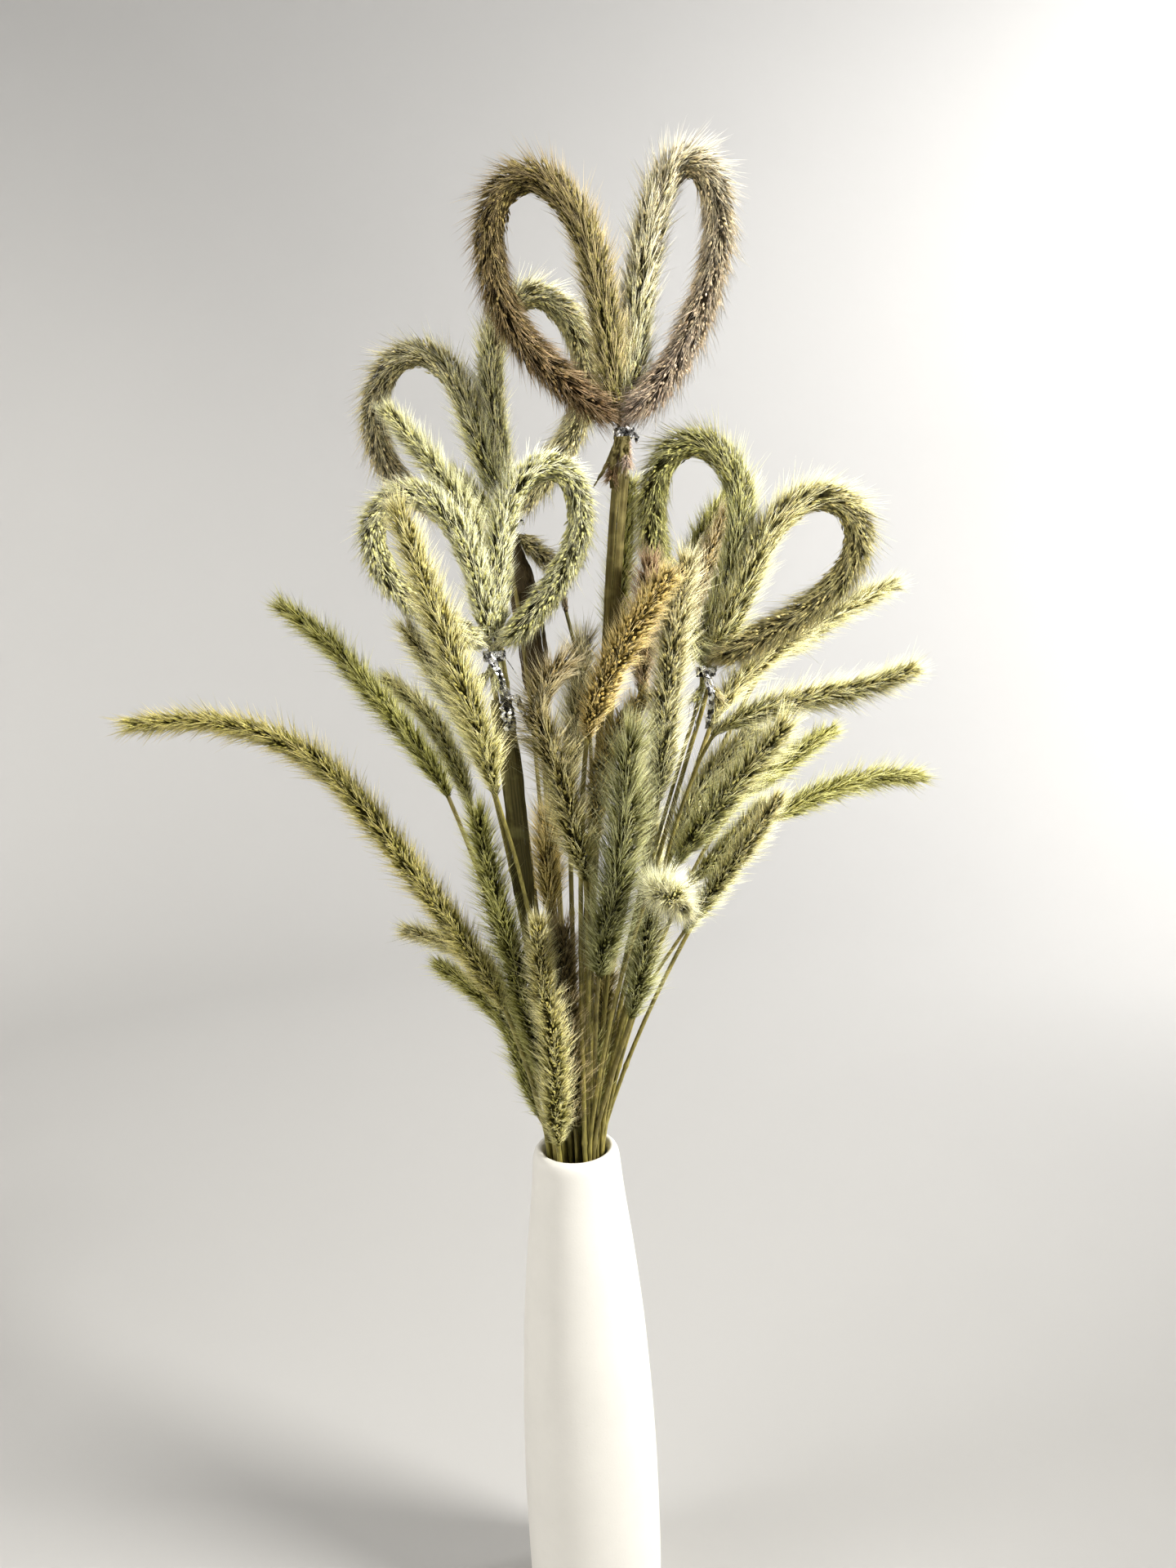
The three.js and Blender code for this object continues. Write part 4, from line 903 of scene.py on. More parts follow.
def bristles(stalk, line, look, draw):
    """Bristles in pointed tufts that lean to the tip of the head."""
    length = line.s[-1] - line.base
    tufts = int(length * look.tufts)
    number = np.arange(tufts)
    s = line.base + TUFT_START + (length - TUFT_BARE) * (number + draw.random(tufts)) / tufts
    if not stalk.tail:
        ends = int(TIP_TUFTS * (1 + PUFF_TIP_TUFTS * stalk.puff))
        s[-ends:] = line.s[-1] - TIP_STRETCH * draw.random(ends)
    angle = GOLDEN_ANGLE * number + draw.normal(0, SPIRAL_SPREAD, tufts)
    frames = at_stations(line, s)
    out = outward(frames, angle)
    reach, body = reach_of(stalk, line, s), body_of(stalk, line, s)
    at_tip = near_tip(line, s, TIP_LENGTH)
    lean = leaning(stalk, line, frames, out, s, look.lean, look.closing) + draw.normal(0, LEAN_SPREAD, tufts)
    if not stalk.tail:
        lean *= 1 - (1 - draw.random(tufts)) * TIP_CLOSING * at_tip
    lean = np.clip(lean, *LEAN_LIMITS)
    skew = draw.normal(0, SKEW_SPREAD, tufts)
    sideways = np.cross(out, frames.tangent)
    along = (frames.tangent * np.cos(lean)[:, None]
             + (out * np.cos(skew)[:, None] + sideways * np.sin(skew)[:, None]) * np.sin(lean)[:, None])
    most = fullest(stalk)
    full = (most * stalk.fluff - body.max()) / math.sin(look.lean)
    shape = look.least + (1 - look.least) * np.clip((reach - BASE_REACH) / (most - BASE_REACH), 0, 1)
    long = full * shape * draw.uniform(*TUFT_LENGTHS, tufts)
    # Each bristle of a tuft starts a little apart from the others, and ends closer to them.
    k = np.repeat(number, look.bristles)
    count = len(k)
    start = frames.tangent[k] * draw.normal(0, TUFT_SIZE, count)[:, None]
    start += sideways[k] * draw.normal(0, TUFT_SIZE * TUFT_FLATNESS, count)[:, None]
    roots = frames.place[k] + start + out[k] * (body[k] * draw.uniform(*ROOT_DEPTHS, count))[:, None]
    stray = 1 + STRAY_LONGER * (draw.random(count) > STRAY_FROM)
    shortest, longest = BRISTLE_LENGTHS
    reached = long[k] * draw.uniform(shortest - PUFF_SHORTER * stalk.puff, longest, count) * stray
    reached *= 1 - PUFF_TIP_SHORTER * stalk.puff * at_tip[k]
    tips = frames.place[k] + out[k] * (body[k] * ROOT_MIDDLE)[:, None] + along[k] * reached[:, None]
    tips += draw.normal(0, 1, (count, 3)) * (reached * TUFT_TIPS)[:, None]
    step = tips - roots
    long = np.linalg.norm(step, axis=1)
    along = step / long[:, None]
    wide = look.bristle_width / 2 * draw.uniform(*BRISTLE_WIDTHS, count)
    side = unit(np.cross(along, out[k]) + 1e-6)
    blank = bristle_blank()
    points, faces = planted(blank, roots, side, along, wide, wide, long)
    ripe = ripeness(stalk, line, s) + draw.normal(0, TUFT_RIPE_SPREAD, tufts)
    ripe = ripe[k] + draw.normal(0, BRISTLE_RIPE_SPREAD, count)
    pale = PUFF_PALE * stalk.puff
    up = pale + (1 - pale) * np.tile(blank.points[:, 2], count)
    return points, faces, on_map(band(up, BRISTLE_BAND), np.repeat(ripe, len(blank.points))), np.full(len(faces), 2)


def look_of(stalk, settings, draw):
    """The sizes of one stalk's parts in millimetres and radians."""
    return SimpleNamespace(
        seeds=settings.seeds_per_mm,
        seed_length=settings.seed_length / MM * (1 - SEEDY_SHORTER * stalk.seedy),
        seed_width=settings.seed_width / MM * (1 + SEEDY_WIDER * stalk.seedy),
        tufts=settings.tufts_per_mm * (1 + PUFF_TUFTS * stalk.puff),
        bristles=settings.bristles_per_tuft,
        bristle_width=settings.bristle_width / MM,
        lean=settings.lean * (1 + SEEDY_LEAN * stalk.seedy) * (LOOP_LEAN if stalk.tail else 1),
        closing=CLOSING - CLOSING * stalk.puff,
        least=LOOP_TUFT_LEAST if stalk.tail else TUFT_LEAST,
        straw=settings.straw_radius / MM * draw.uniform(*STRAW_WIDTHS),
        straw_tone=STRAW_TONES[0] + STRAW_TONES[1] * draw.random())


def grow(name, settings):
    """One stalk: stem, seeds and bristles as one piece, in place of its CAD node."""
    stalk = bouquet()[name]
    line = stations(stalk)
    draw = np.random.default_rng(list(bouquet()).index(name))
    look = look_of(stalk, settings, draw)
    points, faces, growth, kinds = zip(*(make(stalk, line, look, draw) for make in (straw, seeds, bristles)))
    offsets = np.cumsum([0] + [len(part) for part in points])
    faces = np.vstack([part + offset for part, offset in zip(faces, offsets)])
    piece = new_piece(f"{name}_look", np.vstack(points) * MM, faces, np.vstack(growth), np.concatenate(kinds))
    for made in grass_materials(stalk, bpy.context.scene.foxtail_colours):
        piece.data.materials.append(made)
    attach(piece, "root")
    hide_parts(name)
    return piece


# Materials.

# The plain colour of every material in the solid view.
VIEW_COLOUR = (0.6, 0.6, 0.4, 1)


def add(tree, kind, inputs=None, **settings):
    """A node with its settings, and its inputs as values or as sockets to join."""
    made = tree.nodes.new(kind)
    for name, value in settings.items():
        setattr(made, name, value)
    for key, value in (inputs or {}).items():
        if isinstance(value, bpy.types.NodeSocket):
            tree.links.new(value, made.inputs[key])
        else:
            made.inputs[key].default_value = value
    return made


def mixed(tree, share, first, second, blend="MIX"):
    """The colour socket of a mix of two colours."""
    return add(tree, "ShaderNodeMix", {0: share, 6: first, 7: second}, data_type="RGBA", blend_type=blend).outputs[2]


def ranged(tree, value, low, high, to_low=0.0, to_high=1.0):
    return add(tree, "ShaderNodeMapRange", {0: value, 1: low, 2: high, 3: to_low, 4: to_high}).outputs[0]


def worked(tree, operation, first, second):
    return add(tree, "ShaderNodeMath", {0: first, 1: second}, operation=operation).outputs[0]


def dimmed(tree, colour, level):
    """The colour times a level that varies over the surface."""
    grey = add(tree, "ShaderNodeCombineColor", {0: level, 1: level, 2: level})
    return mixed(tree, 1.0, colour, grey.outputs[0], "MULTIPLY")


def object_place(tree):
    return add(tree, "ShaderNodeTexCoord").outputs["Object"]


def noise(tree, place, scale, detail, roughness=0.5):
    return add(tree, "ShaderNodeTexNoise",
               {"Vector": place, "Scale": scale, "Detail": detail, "Roughness": roughness}).outputs[0]


def stretched(tree, place, scale):
    return add(tree, "ShaderNodeMapping", {"Vector": place, "Scale": scale}).outputs[0]


def joined(tree, source, shader, label):
    tree.links.new(source, shader.inputs[label])


def bumped(tree, shader, height, strength, distance):
    bump = add(tree, "ShaderNodeBump", {"Height": height, "Strength": strength, "Distance": distance})
    joined(tree, bump.outputs[0], shader, "Normal")


def tinted(colour, factor=1):
    """The colour, darker or lighter by a factor, with its alpha."""
    return (*(min(1, value * factor) for value in colour), 1.0)


def new_material(name, roughness, specular=0.5, metallic=0):
    made = bpy.data.materials.new(name)
    made.use_nodes = True
    shader = made.node_tree.nodes["Principled BSDF"]
    shader.inputs["Roughness"].default_value = roughness
    shader.inputs["Specular IOR Level"].default_value = specular
    shader.inputs["Metallic"].default_value = metallic
    made.diffuse_color = VIEW_COLOUR
    return made, made.node_tree, shader


@functools.cache
def dried_grass_group():
    """Colour of a grown part by its place: from its root to its tip, from young to ripe, each with its own tone. On
    seeds and bristles the darkened root end is painted shade.
    """
    tree = bpy.data.node_groups.new("Dried grass", "ShaderNodeTree")
    for label, kind, value in (
            ("Young", "Color", (0.3, 0.32, 0.1, 1)), ("Ripe", "Color", (0.4, 0.3, 0.12, 1)),
            ("Root Shade", "Float", 0.5), ("Tip", "Color", (0.8, 0.75, 0.5, 1)), ("Tip Share", "Float", 0.5),
            ("Tone Contrast", "Float", 0.5), ("Band Start", "Float", 0.0), ("Band End", "Float", 1.0)):
        tree.interface.new_socket(label, in_out="INPUT", socket_type=f"NodeSocket{kind}").default_value = value
    for label, kind in (("Colour", "Color"), ("From Root", "Float"), ("Tone", "Float")):
        tree.interface.new_socket(label, in_out="OUTPUT", socket_type=f"NodeSocket{kind}")
    given, out = tree.nodes.new("NodeGroupInput").outputs, tree.nodes.new("NodeGroupOutput")
    place = add(tree, "ShaderNodeSeparateXYZ", {0: add(tree, "ShaderNodeUVMap", uv_map=GROWTH).outputs[0]})
    root = ranged(tree, place.outputs[0], given["Band Start"], given["Band End"])
    streaks = add(tree, "ShaderNodeTexNoise", {"W": place.outputs[1], "Scale": 160.0, "Detail": 1.0},
                  noise_dimensions="1D")
    tone = ranged(tree, streaks.outputs[0], 0.3, 0.7)
    grown = mixed(tree, place.outputs[1], given["Young"], given["Ripe"])
    # Painted shade: the root end of each part is darkened to the Root Shade level, standing in for the shade deep
    # among the seeds and tufts.
    grown = dimmed(tree, grown, ranged(tree, root, 0.0, 0.4, given["Root Shade"], 1.0))
    tip = worked(tree, "MULTIPLY", ranged(tree, root, 0.25, 1.0), given["Tip Share"])
    grown = mixed(tree, tip, grown, given["Tip"])
    dark, light = (worked(tree, operation, 1.0, given["Tone Contrast"]) for operation in ("SUBTRACT", "ADD"))
    grown = dimmed(tree, grown, ranged(tree, tone, 0.0, 1.0, dark, light))
    for source, label in ((grown, "Colour"), (root, "From Root"), (tone, "Tone")):
        joined(tree, source, out, label)
    return tree


def grass_colour(tree, young, ripe, tip, limits, root_shade, tip_share, contrast):
    """The colour socket of the dried grass group, with its settings."""
    return add(tree, "ShaderNodeGroup", {
        "Young": tinted(young), "Ripe": tinted(ripe), "Tip": tinted(tip), "Root Shade": root_shade,
        "Tip Share": tip_share, "Tone Contrast": contrast, "Band Start": limits[0], "Band End": limits[1],
    }, node_tree=dried_grass_group()).outputs["Colour"]


@functools.cache
def seed_material(grass, seed, ripe, tip):
    made, tree, shader = new_material(f"{grass.capitalize()} seeds", roughness=0.62, specular=0.1)
    # Painted shade: the seeds' root ends are darkened to a tenth, for the shade between them.
    colour = grass_colour(tree, seed, ripe, tip, SEED_BAND, root_shade=0.1, tip_share=0.15, contrast=0.6)
    joined(tree, colour, shader, "Base Color")
    husk = noise(tree, object_place(tree), scale=2200.0, detail=2.0)
    bumped(tree, shader, husk, strength=0.35, distance=0.0003)
    return made


@functools.cache
def bristle_material(grass, bristle, ripe, tip):
    made, tree, shader = new_material(f"{grass.capitalize()} bristles", roughness=0.6, specular=0.08)
    # Painted shade: the bristles' root ends are darkened to a fifth, for the shade inside the tufts.
    colour = grass_colour(tree, bristle, ripe, tip, BRISTLE_BAND, root_shade=0.2, tip_share=0.58, contrast=0.6)
    joined(tree, colour, shader, "Base Color")
    return made


@functools.cache
def straw_material(young, ripe):
    made, tree, shader = new_material("Dry straw", roughness=0.48)
    colour = grass_colour(tree, young, ripe, ripe, STRAW_BAND, root_shade=0.8, tip_share=0.3, contrast=0.25)
    streak = noise(tree, stretched(tree, object_place(tree), (1.0, 1.0, 0.06)), scale=1600.0, detail=3.0)
    joined(tree, dimmed(tree, colour, ranged(tree, streak, 0.35, 0.7, 0.55, 1.15)), shader, "Base Color")
    bumped(tree, shader, streak, strength=0.4, distance=0.0002)
    return made


def shaded(stalk, colours, *names):
    """The named colours times the stalk's shade, one factor or one each for red, green and blue: below 1 mostly
    painted shade on heads deep in the bunch, above 1 a paler tint of a loop.
    """
    return (tuple(np.minimum(1, np.multiply(stalk.shade, getattr(colours, name))).tolist()) for name in names)


def grass_materials(stalk, colours):
    """The materials of a stalk's stem, seeds and bristles."""
    grass = stalk.grass
    return (straw_material(*shaded(stalk, colours, "straw", "straw_ripe")),
            seed_material(grass, *shaded(stalk, colours, f"{grass}_seed", f"{grass}_ripe", f"{grass}_tip")),
            bristle_material(grass, *shaded(stalk, colours, f"{grass}_bristle", f"{grass}_ripe", f"{grass}_tip")))


def ceramic_material(colour):
    made, tree, shader = new_material("Matt off-white glaze", roughness=0.5, specular=0.4)
    place = object_place(tree)
    cloud = noise(tree, place, scale=22.0, detail=5.0, roughness=0.6)
    speck = noise(tree, place, scale=900.0, detail=2.0)
    soft = mixed(tree, ranged(tree, cloud, 0.3, 0.75), tinted(colour), tinted(colour, 0.93))
    grains = ranged(tree, speck, 0.68, 0.78, 0.0, 0.16)
    joined(tree, mixed(tree, grains, soft, tinted(colour, 0.55)), shader, "Base Color")
    joined(tree, ranged(tree, cloud, 0.3, 0.7, 0.42, 0.6), shader, "Roughness")
    bumped(tree, shader, mixed(tree, 0.25, cloud, speck), strength=0.25, distance=0.0008)
    return made


@functools.cache
def foil_material(colour):
    made, tree, shader = new_material("Crumpled foil", roughness=0.24, metallic=1)
    place = object_place(tree)
    folds, facets = (add(tree, "ShaderNodeTexVoronoi", {"Vector": place, "Scale": scale}) for scale in (240.0, 430.0))
    facet = add(tree, "ShaderNodeSeparateColor", {0: facets.outputs["Color"]}).outputs[0]
    fine = noise(tree, place, scale=1400.0, detail=3.0)
    # Painted reflections: each facet of the crumpled foil gets its own base colour from dark to bright, as if it
    # mirrored dark and bright surroundings.
    painted_facet_reflections = mixed(tree, ranged(tree, facet, 0.35, 0.75), tinted(colour, 0.16), tinted(colour, 1.2))
    joined(tree, painted_facet_reflections, shader, "Base Color")
    joined(tree, ranged(tree, fine, 0.3, 0.7, 0.16, 0.38), shader, "Roughness")
    bumped(tree, shader, mixed(tree, 0.35, folds.outputs["Distance"], fine), strength=0.5, distance=0.0006)
    return made


def leaf_material(kind, colour, pale):
    made, tree, shader = new_material(f"{kind.capitalize()} dry leaf", roughness=0.6, specular=0.25)
    blade = add(tree, "ShaderNodeUVMap", uv_map=GROWTH).outputs[0]
    streak = noise(tree, stretched(tree, blade, (34.0, 3.0, 1.0)), scale=1.0, detail=4.0)
    blotch = noise(tree, object_place(tree), scale=90.0, detail=4.0)
    base = mixed(tree, ranged(tree, streak, 0.38, 0.66), tinted(colour, 0.45), tinted(colour))
    base = mixed(tree, ranged(tree, blotch, 0.5, 0.75, 0.0, 0.65), base, tinted(pale))
    joined(tree, base, shader, "Base Color")
    bumped(tree, shader, streak, strength=0.7, distance=0.0005)
    return made


# The vase: its outline in millimetres, from the foot up the outer wall, over the lip and down to the floor
# inside.

VASE_SIDES = 72
VASE_HEIGHT = 300
VASE_CREASE = math.radians(40)
VASE_PROFILE = [
    (35.2, 0), (36.8, 0.5), (38.4, 2.2), (39.3, 6), (40.2, 26), (40.5, 60), (40.2, 98), (39.2, 132), (37.6, 164),
    (35.8, 192), (33.4, 218), (30.9, 242), (28.1, 265), (26.7, 278), (25.8, 288), (25.2, 294), (24.3, 297.4),
    (22.9, 299.4), (21.3, VASE_HEIGHT), (19.8, 299.3), (18.7, 297.2), (18.2, 294), (18.5, 286), (20.2, 274),
    (22.6, 262), (27.6, 217), (31.8, 163), (34.2, 95), (34.0, 26), (33.0, 14), (29.0, 8.4), (24.0, 8),
]


def vase(settings, colours):
    """A disc drawn up ring by ring along the outline, with one more ring between each two points."""
    start_clear()
    turns = np.arange(0, len(VASE_PROFILE) - 0.5, 0.5)
    profile = curve_through([(radius, 0, z) for radius, z in VASE_PROFILE], turns)[:, [0, 2]]
    profile = profile * settings.vase_height / VASE_HEIGHT
    radius, height = profile[0]
    bpy.ops.mesh.primitive_circle_add(vertices=VASE_SIDES, radius=radius, fill_type="NGON")
    bpy.ops.object.mode_set(mode="EDIT")
    for next_radius, next_height in profile[1:]:
        bpy.ops.mesh.extrude_region_move(TRANSFORM_OT_translate={"value": (0, 0, next_height - height)})
        share = next_radius / radius
        bpy.ops.transform.resize(value=(share, share, 1), center_override=(0, 0, next_height))
        radius, height = next_radius, next_height
    piece = closed_shape("vase_look")
    bpy.ops.object.shade_smooth_by_angle(angle=VASE_CREASE)
    piece.data.materials.append(ceramic_material(colours.ceramic))
    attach(piece, "root")
    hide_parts("vase")
    return piece


# Foil ties.

# Each hanging strip in millimetres from its tie: places along it, each with the strip's width there.
FOIL_STRIPS = {
    "heart1": [[(4.5, -4.8, 0, 3.4), (6.4, -6.2, -2.5, 3.2), (6.6, -6.8, -6, 1.2)]],
    "heart2": [[(-2, -5, 0, 4), (-4, -7, -5, 3.6), (-3, -8, -10, 1.4)],
               [(3, -5, 1, 3), (7, -7, 1, 3.4), (9.5, -7, -2, 1.6)]],
    "heart3": [[(-2, -5.4, 2, 3.6), (1.5, -6.8, -6, 4.6), (4.2, -7.8, -14, 4.4), (6.4, -8.5, -22, 7)],
               [(5.6, -8.7, -20, 5.5), (6.0, -9.1, -28, 8), (7.2, -8.8, -37, 7.4)],
               [(10.2, -8.4, -19, 4), (13.5, -8.2, -28, 3), (16.8, -7.6, -37, 2)]],
    "heart4": [[(-2, -5, 4, 4), (0.5, -6.8, -4, 6), (2.2, -7.8, -12, 5), (1.2, -8.2, -20, 4.4),
                (-1.4, -8.2, -30, 3)]],
}
# Thin wires that stick out of a tie.
FOIL_WIRES = {
    "heart4": [[(-1, -6, -9), (-5, -8, -7.5), (-8.5, -8.5, -13), (-11.5, -8.2, -25)],
               [(0, -6.5, -13), (-4, -8.4, -14), (-6.6, -8.8, -19), (-7.4, -8.2, -31)]],
    "heart3": [[(1, -6, 0), (5, -8, 1), (8, -8.4, -3), (12, -8.2, -10)]],
}
WIRE_RADIUS = 0.00024
WIRE_SIDES = 5
WIRE_STEPS = 16
# The two turns of foil round the strands: place in millimetres from the tie, radius, height and seed.
FOIL_TURNS = [((0, 0, 0), 0.0050, 0.0044, 10), ((0.3, -0.2, 1.5), 0.0054, 0.0026, 20)]
TURN_SIDES = 26
TURN_CUTS = 3
TURN_CRUMPLE = 0.0005
# A strip's points, how far they are pressed out of place, how its torn edges differ in width, the depth of its
# lengthways fold over its width, its creases in millimetres, and how it turns from row to row.
STRIP_ACROSS = 5
STRIP_ALONG = 16
STRIP_SEED = 31
STRIP_SEEDS = 7
STRIP_CRUMPLE = 0.0003
STRIP_UNEVEN = 0.04
STRIP_TORN = (0.72, 1.08)
STRIP_FOLD = 0.16
STRIP_CREASE = 0.5
STRIP_TURN = 0.09


def crumpled(piece, size, seed):
    """Moves each point a little at random, as foil that was pressed round by hand."""
    start_clear(piece)
    bpy.ops.object.mode_set(mode="EDIT")
    bpy.ops.mesh.select_all(action="SELECT")
    bpy.ops.transform.vertex_random(offset=size, uniform=0.6, normal=0.4, seed=seed)
    bpy.ops.object.mode_set(mode="OBJECT")
    return piece


def foil_turn(place, radius, height, seed):
    start_clear()
    bpy.ops.mesh.primitive_cylinder_add(vertices=TURN_SIDES, radius=radius, depth=height, location=place,
                                        end_fill_type="NOTHING")
    bpy.ops.object.mode_set(mode="EDIT")
    bpy.ops.mesh.select_all(action="SELECT")
    bpy.ops.mesh.subdivide(number_cuts=TURN_CUTS)
    return crumpled(shaped("foil_turn"), TURN_CRUMPLE, seed)


def strip(name, tie, path, seed):
    """A strip that hangs from the tie, folded lengthways, creased across and torn at its edges."""
    start_clear()
    along = np.linspace(0, len(path) - 1, STRIP_ALONG)
    middle = curve_through([stop[:3] for stop in path], along) + tie
    width = np.interp(along, np.arange(len(path)), [stop[3] for stop in path])
    bpy.ops.mesh.primitive_grid_add(x_subdivisions=STRIP_ACROSS - 1, y_subdivisions=STRIP_ALONG - 1, size=1)
    piece = shaped(name)
    draw = np.random.default_rng(seed)
    points = np.array([vertex.co for vertex in piece.data.vertices])
    row = np.rint((points[:, 1] + 0.5) * (STRIP_ALONG - 1)).astype(int)
    column = np.rint((points[:, 0] + 0.5) * (STRIP_ACROSS - 1)).astype(int)
    across = points[:, 0] + draw.normal(0, STRIP_UNEVEN, len(points))
    right_half = (column > STRIP_ACROSS // 2).astype(int)
    wide = (width * draw.uniform(*STRIP_TORN, (2, STRIP_ALONG)))[right_half, row]
    creases = np.repeat(draw.normal(0, STRIP_CREASE, STRIP_ALONG // 2 + 1), 2)[row]
    fold = STRIP_FOLD * wide * (np.arange(STRIP_ACROSS) % 2)[column] + creases * (0.4 + 0.6 * np.cos(3 * across))
    turn = np.cumsum(draw.normal(0, STRIP_TURN, STRIP_ALONG))[row]
    place = middle[row]
    place[:, 0] += across * wide * np.cos(turn) + fold * np.sin(turn)
    place[:, 1] += across * wide * np.sin(turn) - fold * np.cos(turn)
    piece.data.vertices.foreach_set("co", (place * MM).astype(np.float32).ravel())
    return crumpled(piece, STRIP_CRUMPLE, seed)


def wire(tie, path):
    """A thin bent wire: a small disc drawn out along the path."""
    start_clear()
    stops = (curve_through(path, np.linspace(0, len(path) - 1, WIRE_STEPS)) + tie) * MM
    bpy.ops.mesh.primitive_circle_add(vertices=WIRE_SIDES, radius=WIRE_RADIUS, fill_type="NGON",
                                      location=tuple(stops[0]))
    bpy.ops.object.mode_set(mode="EDIT")
    for step in np.diff(stops, axis=0):
        bpy.ops.mesh.extrude_region_move(TRANSFORM_OT_translate={"value": tuple(step)})
    return closed_shape("wire")


def thickened(piece, thickness):
    """Gives a sheet its thickness."""
    bpy.context.view_layer.objects.active = piece
    wall = piece.modifiers.new("Thickness", "SOLIDIFY")
    wall.thickness, wall.offset = thickness, 0
    bpy.ops.object.modifier_apply(modifier=wall.name)


def together(parts, name):
    start_clear(parts[0])
    for part in parts:
        part.select_set(True)
    if len(parts) > 1:
        bpy.ops.object.join()
    return shaped(name)


def foil_tie(heart, settings, colours):
    """Two turns of foil round the strands, with the strips and wires that hang from them."""
    place = np.array(HEARTS[heart]["tie"], float)
    number = list(HEARTS).index(heart)
    sheets = [foil_turn(tuple((place + step) * MM), radius, height, seed + number)
              for step, radius, height, seed in FOIL_TURNS]
    sheets += [strip("foil", place, path, STRIP_SEED + STRIP_SEEDS * number + k)
               for k, path in enumerate(FOIL_STRIPS[heart])]
    for sheet in sheets:
        thickened(sheet, settings.foil_thickness)
    piece = together(sheets + [wire(place, path) for path in FOIL_WIRES.get(heart, ())], f"{heart}_tie_look")
    bpy.ops.object.shade_flat()
    piece.data.materials.append(foil_material(tuple(colours.foil)))
    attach(piece, "root")
    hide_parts(f"{heart}_tie")
    return piece


# Leaf sheaths: where the fold starts round the stems and how far it goes, and the faces across and along.
SHEATH_FROM = -1.1 * math.pi
SHEATH_TURN = 1.2 * math.pi
SHEATH_ACROSS = 48
SHEATH_ALONG = 96
SHEATH_THICKNESS = 0.0003
# How each sheath differs: its depth in millimetres and its share of the width, how much its top end draws in
# to a point, its ribs and waves in millimetres, how many slits it has, and its own colours.
SHEATH_LOOKS = {
    "heart1_sheath": dict(deep=3.0, wide=0.95, point=0.0, ribs=0.22, slits=3, waves=0.12, leaf="olive"),
    "heart2_sheath": dict(deep=3.3, wide=1.45, point=0.5, ribs=0.12, slits=6, waves=0.4, leaf="brown"),
    "heart3_sheath": dict(deep=3.3, wide=1.0, point=0.45, ribs=0.2, slits=7, waves=0.34, leaf="dark"),
}
# The faces that a slit keeps from the edges, and its length in faces.
SLIT_COLUMNS = (6, SHEATH_ACROSS - 8)
SLIT_ROWS = (4, SHEATH_ALONG - 34)
SLIT_LENGTHS = (12, 30)
# How the ends are torn and the edges notched, and how the foot end draws in.
TORN_SPREAD = 0.03
TORN_SHARE = 0.9
TORN_EASE = (0.3, 0.4, 0.3)
NOTCHES = 40
NOTCH_WIDTHS = (0.86, 1.04)
POINT_LENGTH = 0.34
FOOT_WIDTH = 0.55
FOOT_LENGTH = 0.2
BROAD_RIBS = 5
FINE_RIBS = 19
FINE_RIB_HEIGHT = 0.08
# Torn dry shreds that hang below a tie: places in millimetres from the tie, with widths.
SHRED_SEED = 70
SHREDS = {
    "heart1_sheath": [
        [(-3, -5.2, -3, 2.4), (-8, -6.4, -13, 2.6), (-12, -6.8, -20, 2.2), (-17, -7, -27, 0.5)],
        [(-3.5, -5.8, -2, 3.4), (-5.4, -7.2, -12, 4.4), (-6.6, -7.4, -20, 4), (-7, -7.2, -28, 2.6)],
        [(-1, -6.2, -2, 3.2), (-4, -7.8, -9, 4.6), (-7.6, -8.2, -16, 0.8)],
        [(0.6, -6.2, -2, 3), (-1.2, -7.9, -10, 4.2), (-2.8, -8.1, -21, 0.8)],
        [(2, -6, -2, 2.4), (1.2, -7.4, -8, 3), (1.8, -7.6, -14, 0.6)],
    ],
    "heart2_sheath": [
        [(0.5, -5.2, -3, 1), (2, -6.4, -13, 8), (4, -6.8, -26, 12), (6, -6.6, -40, 13)],
        [(3, -5.6, -6, 1), (7.5, -7, -18, 2.4), (11, -7.4, -34, 1.6)],
    ],
}


def slit(piece, draw, slits):
    """Takes out short runs of faces along the leaf, which leaves it split."""
    columns = draw.integers(*SLIT_COLUMNS, slits)
    starts = draw.integers(*SLIT_ROWS, slits)
    gaps = {(int(column), int(row)) for column, start in zip(columns, starts)
            for row in range(start, start + int(draw.integers(*SLIT_LENGTHS)))}
    start_clear(piece)
    bpy.ops.object.mode_set(mode="EDIT")
    bpy.ops.mesh.select_all(action="DESELECT")
    bpy.ops.mesh.select_mode(type="FACE")
    mesh = bmesh.from_edit_mesh(piece.data)
    for face in mesh.faces:
        centre = face.calc_center_median()
        face.select = (int((centre.x + 0.5) * SHEATH_ACROSS), int((centre.y + 0.5) * SHEATH_ALONG)) in gaps
    bmesh.update_edit_mesh(piece.data)
    bpy.ops.mesh.delete(type="FACE")
    bpy.ops.object.mode_set(mode="OBJECT")


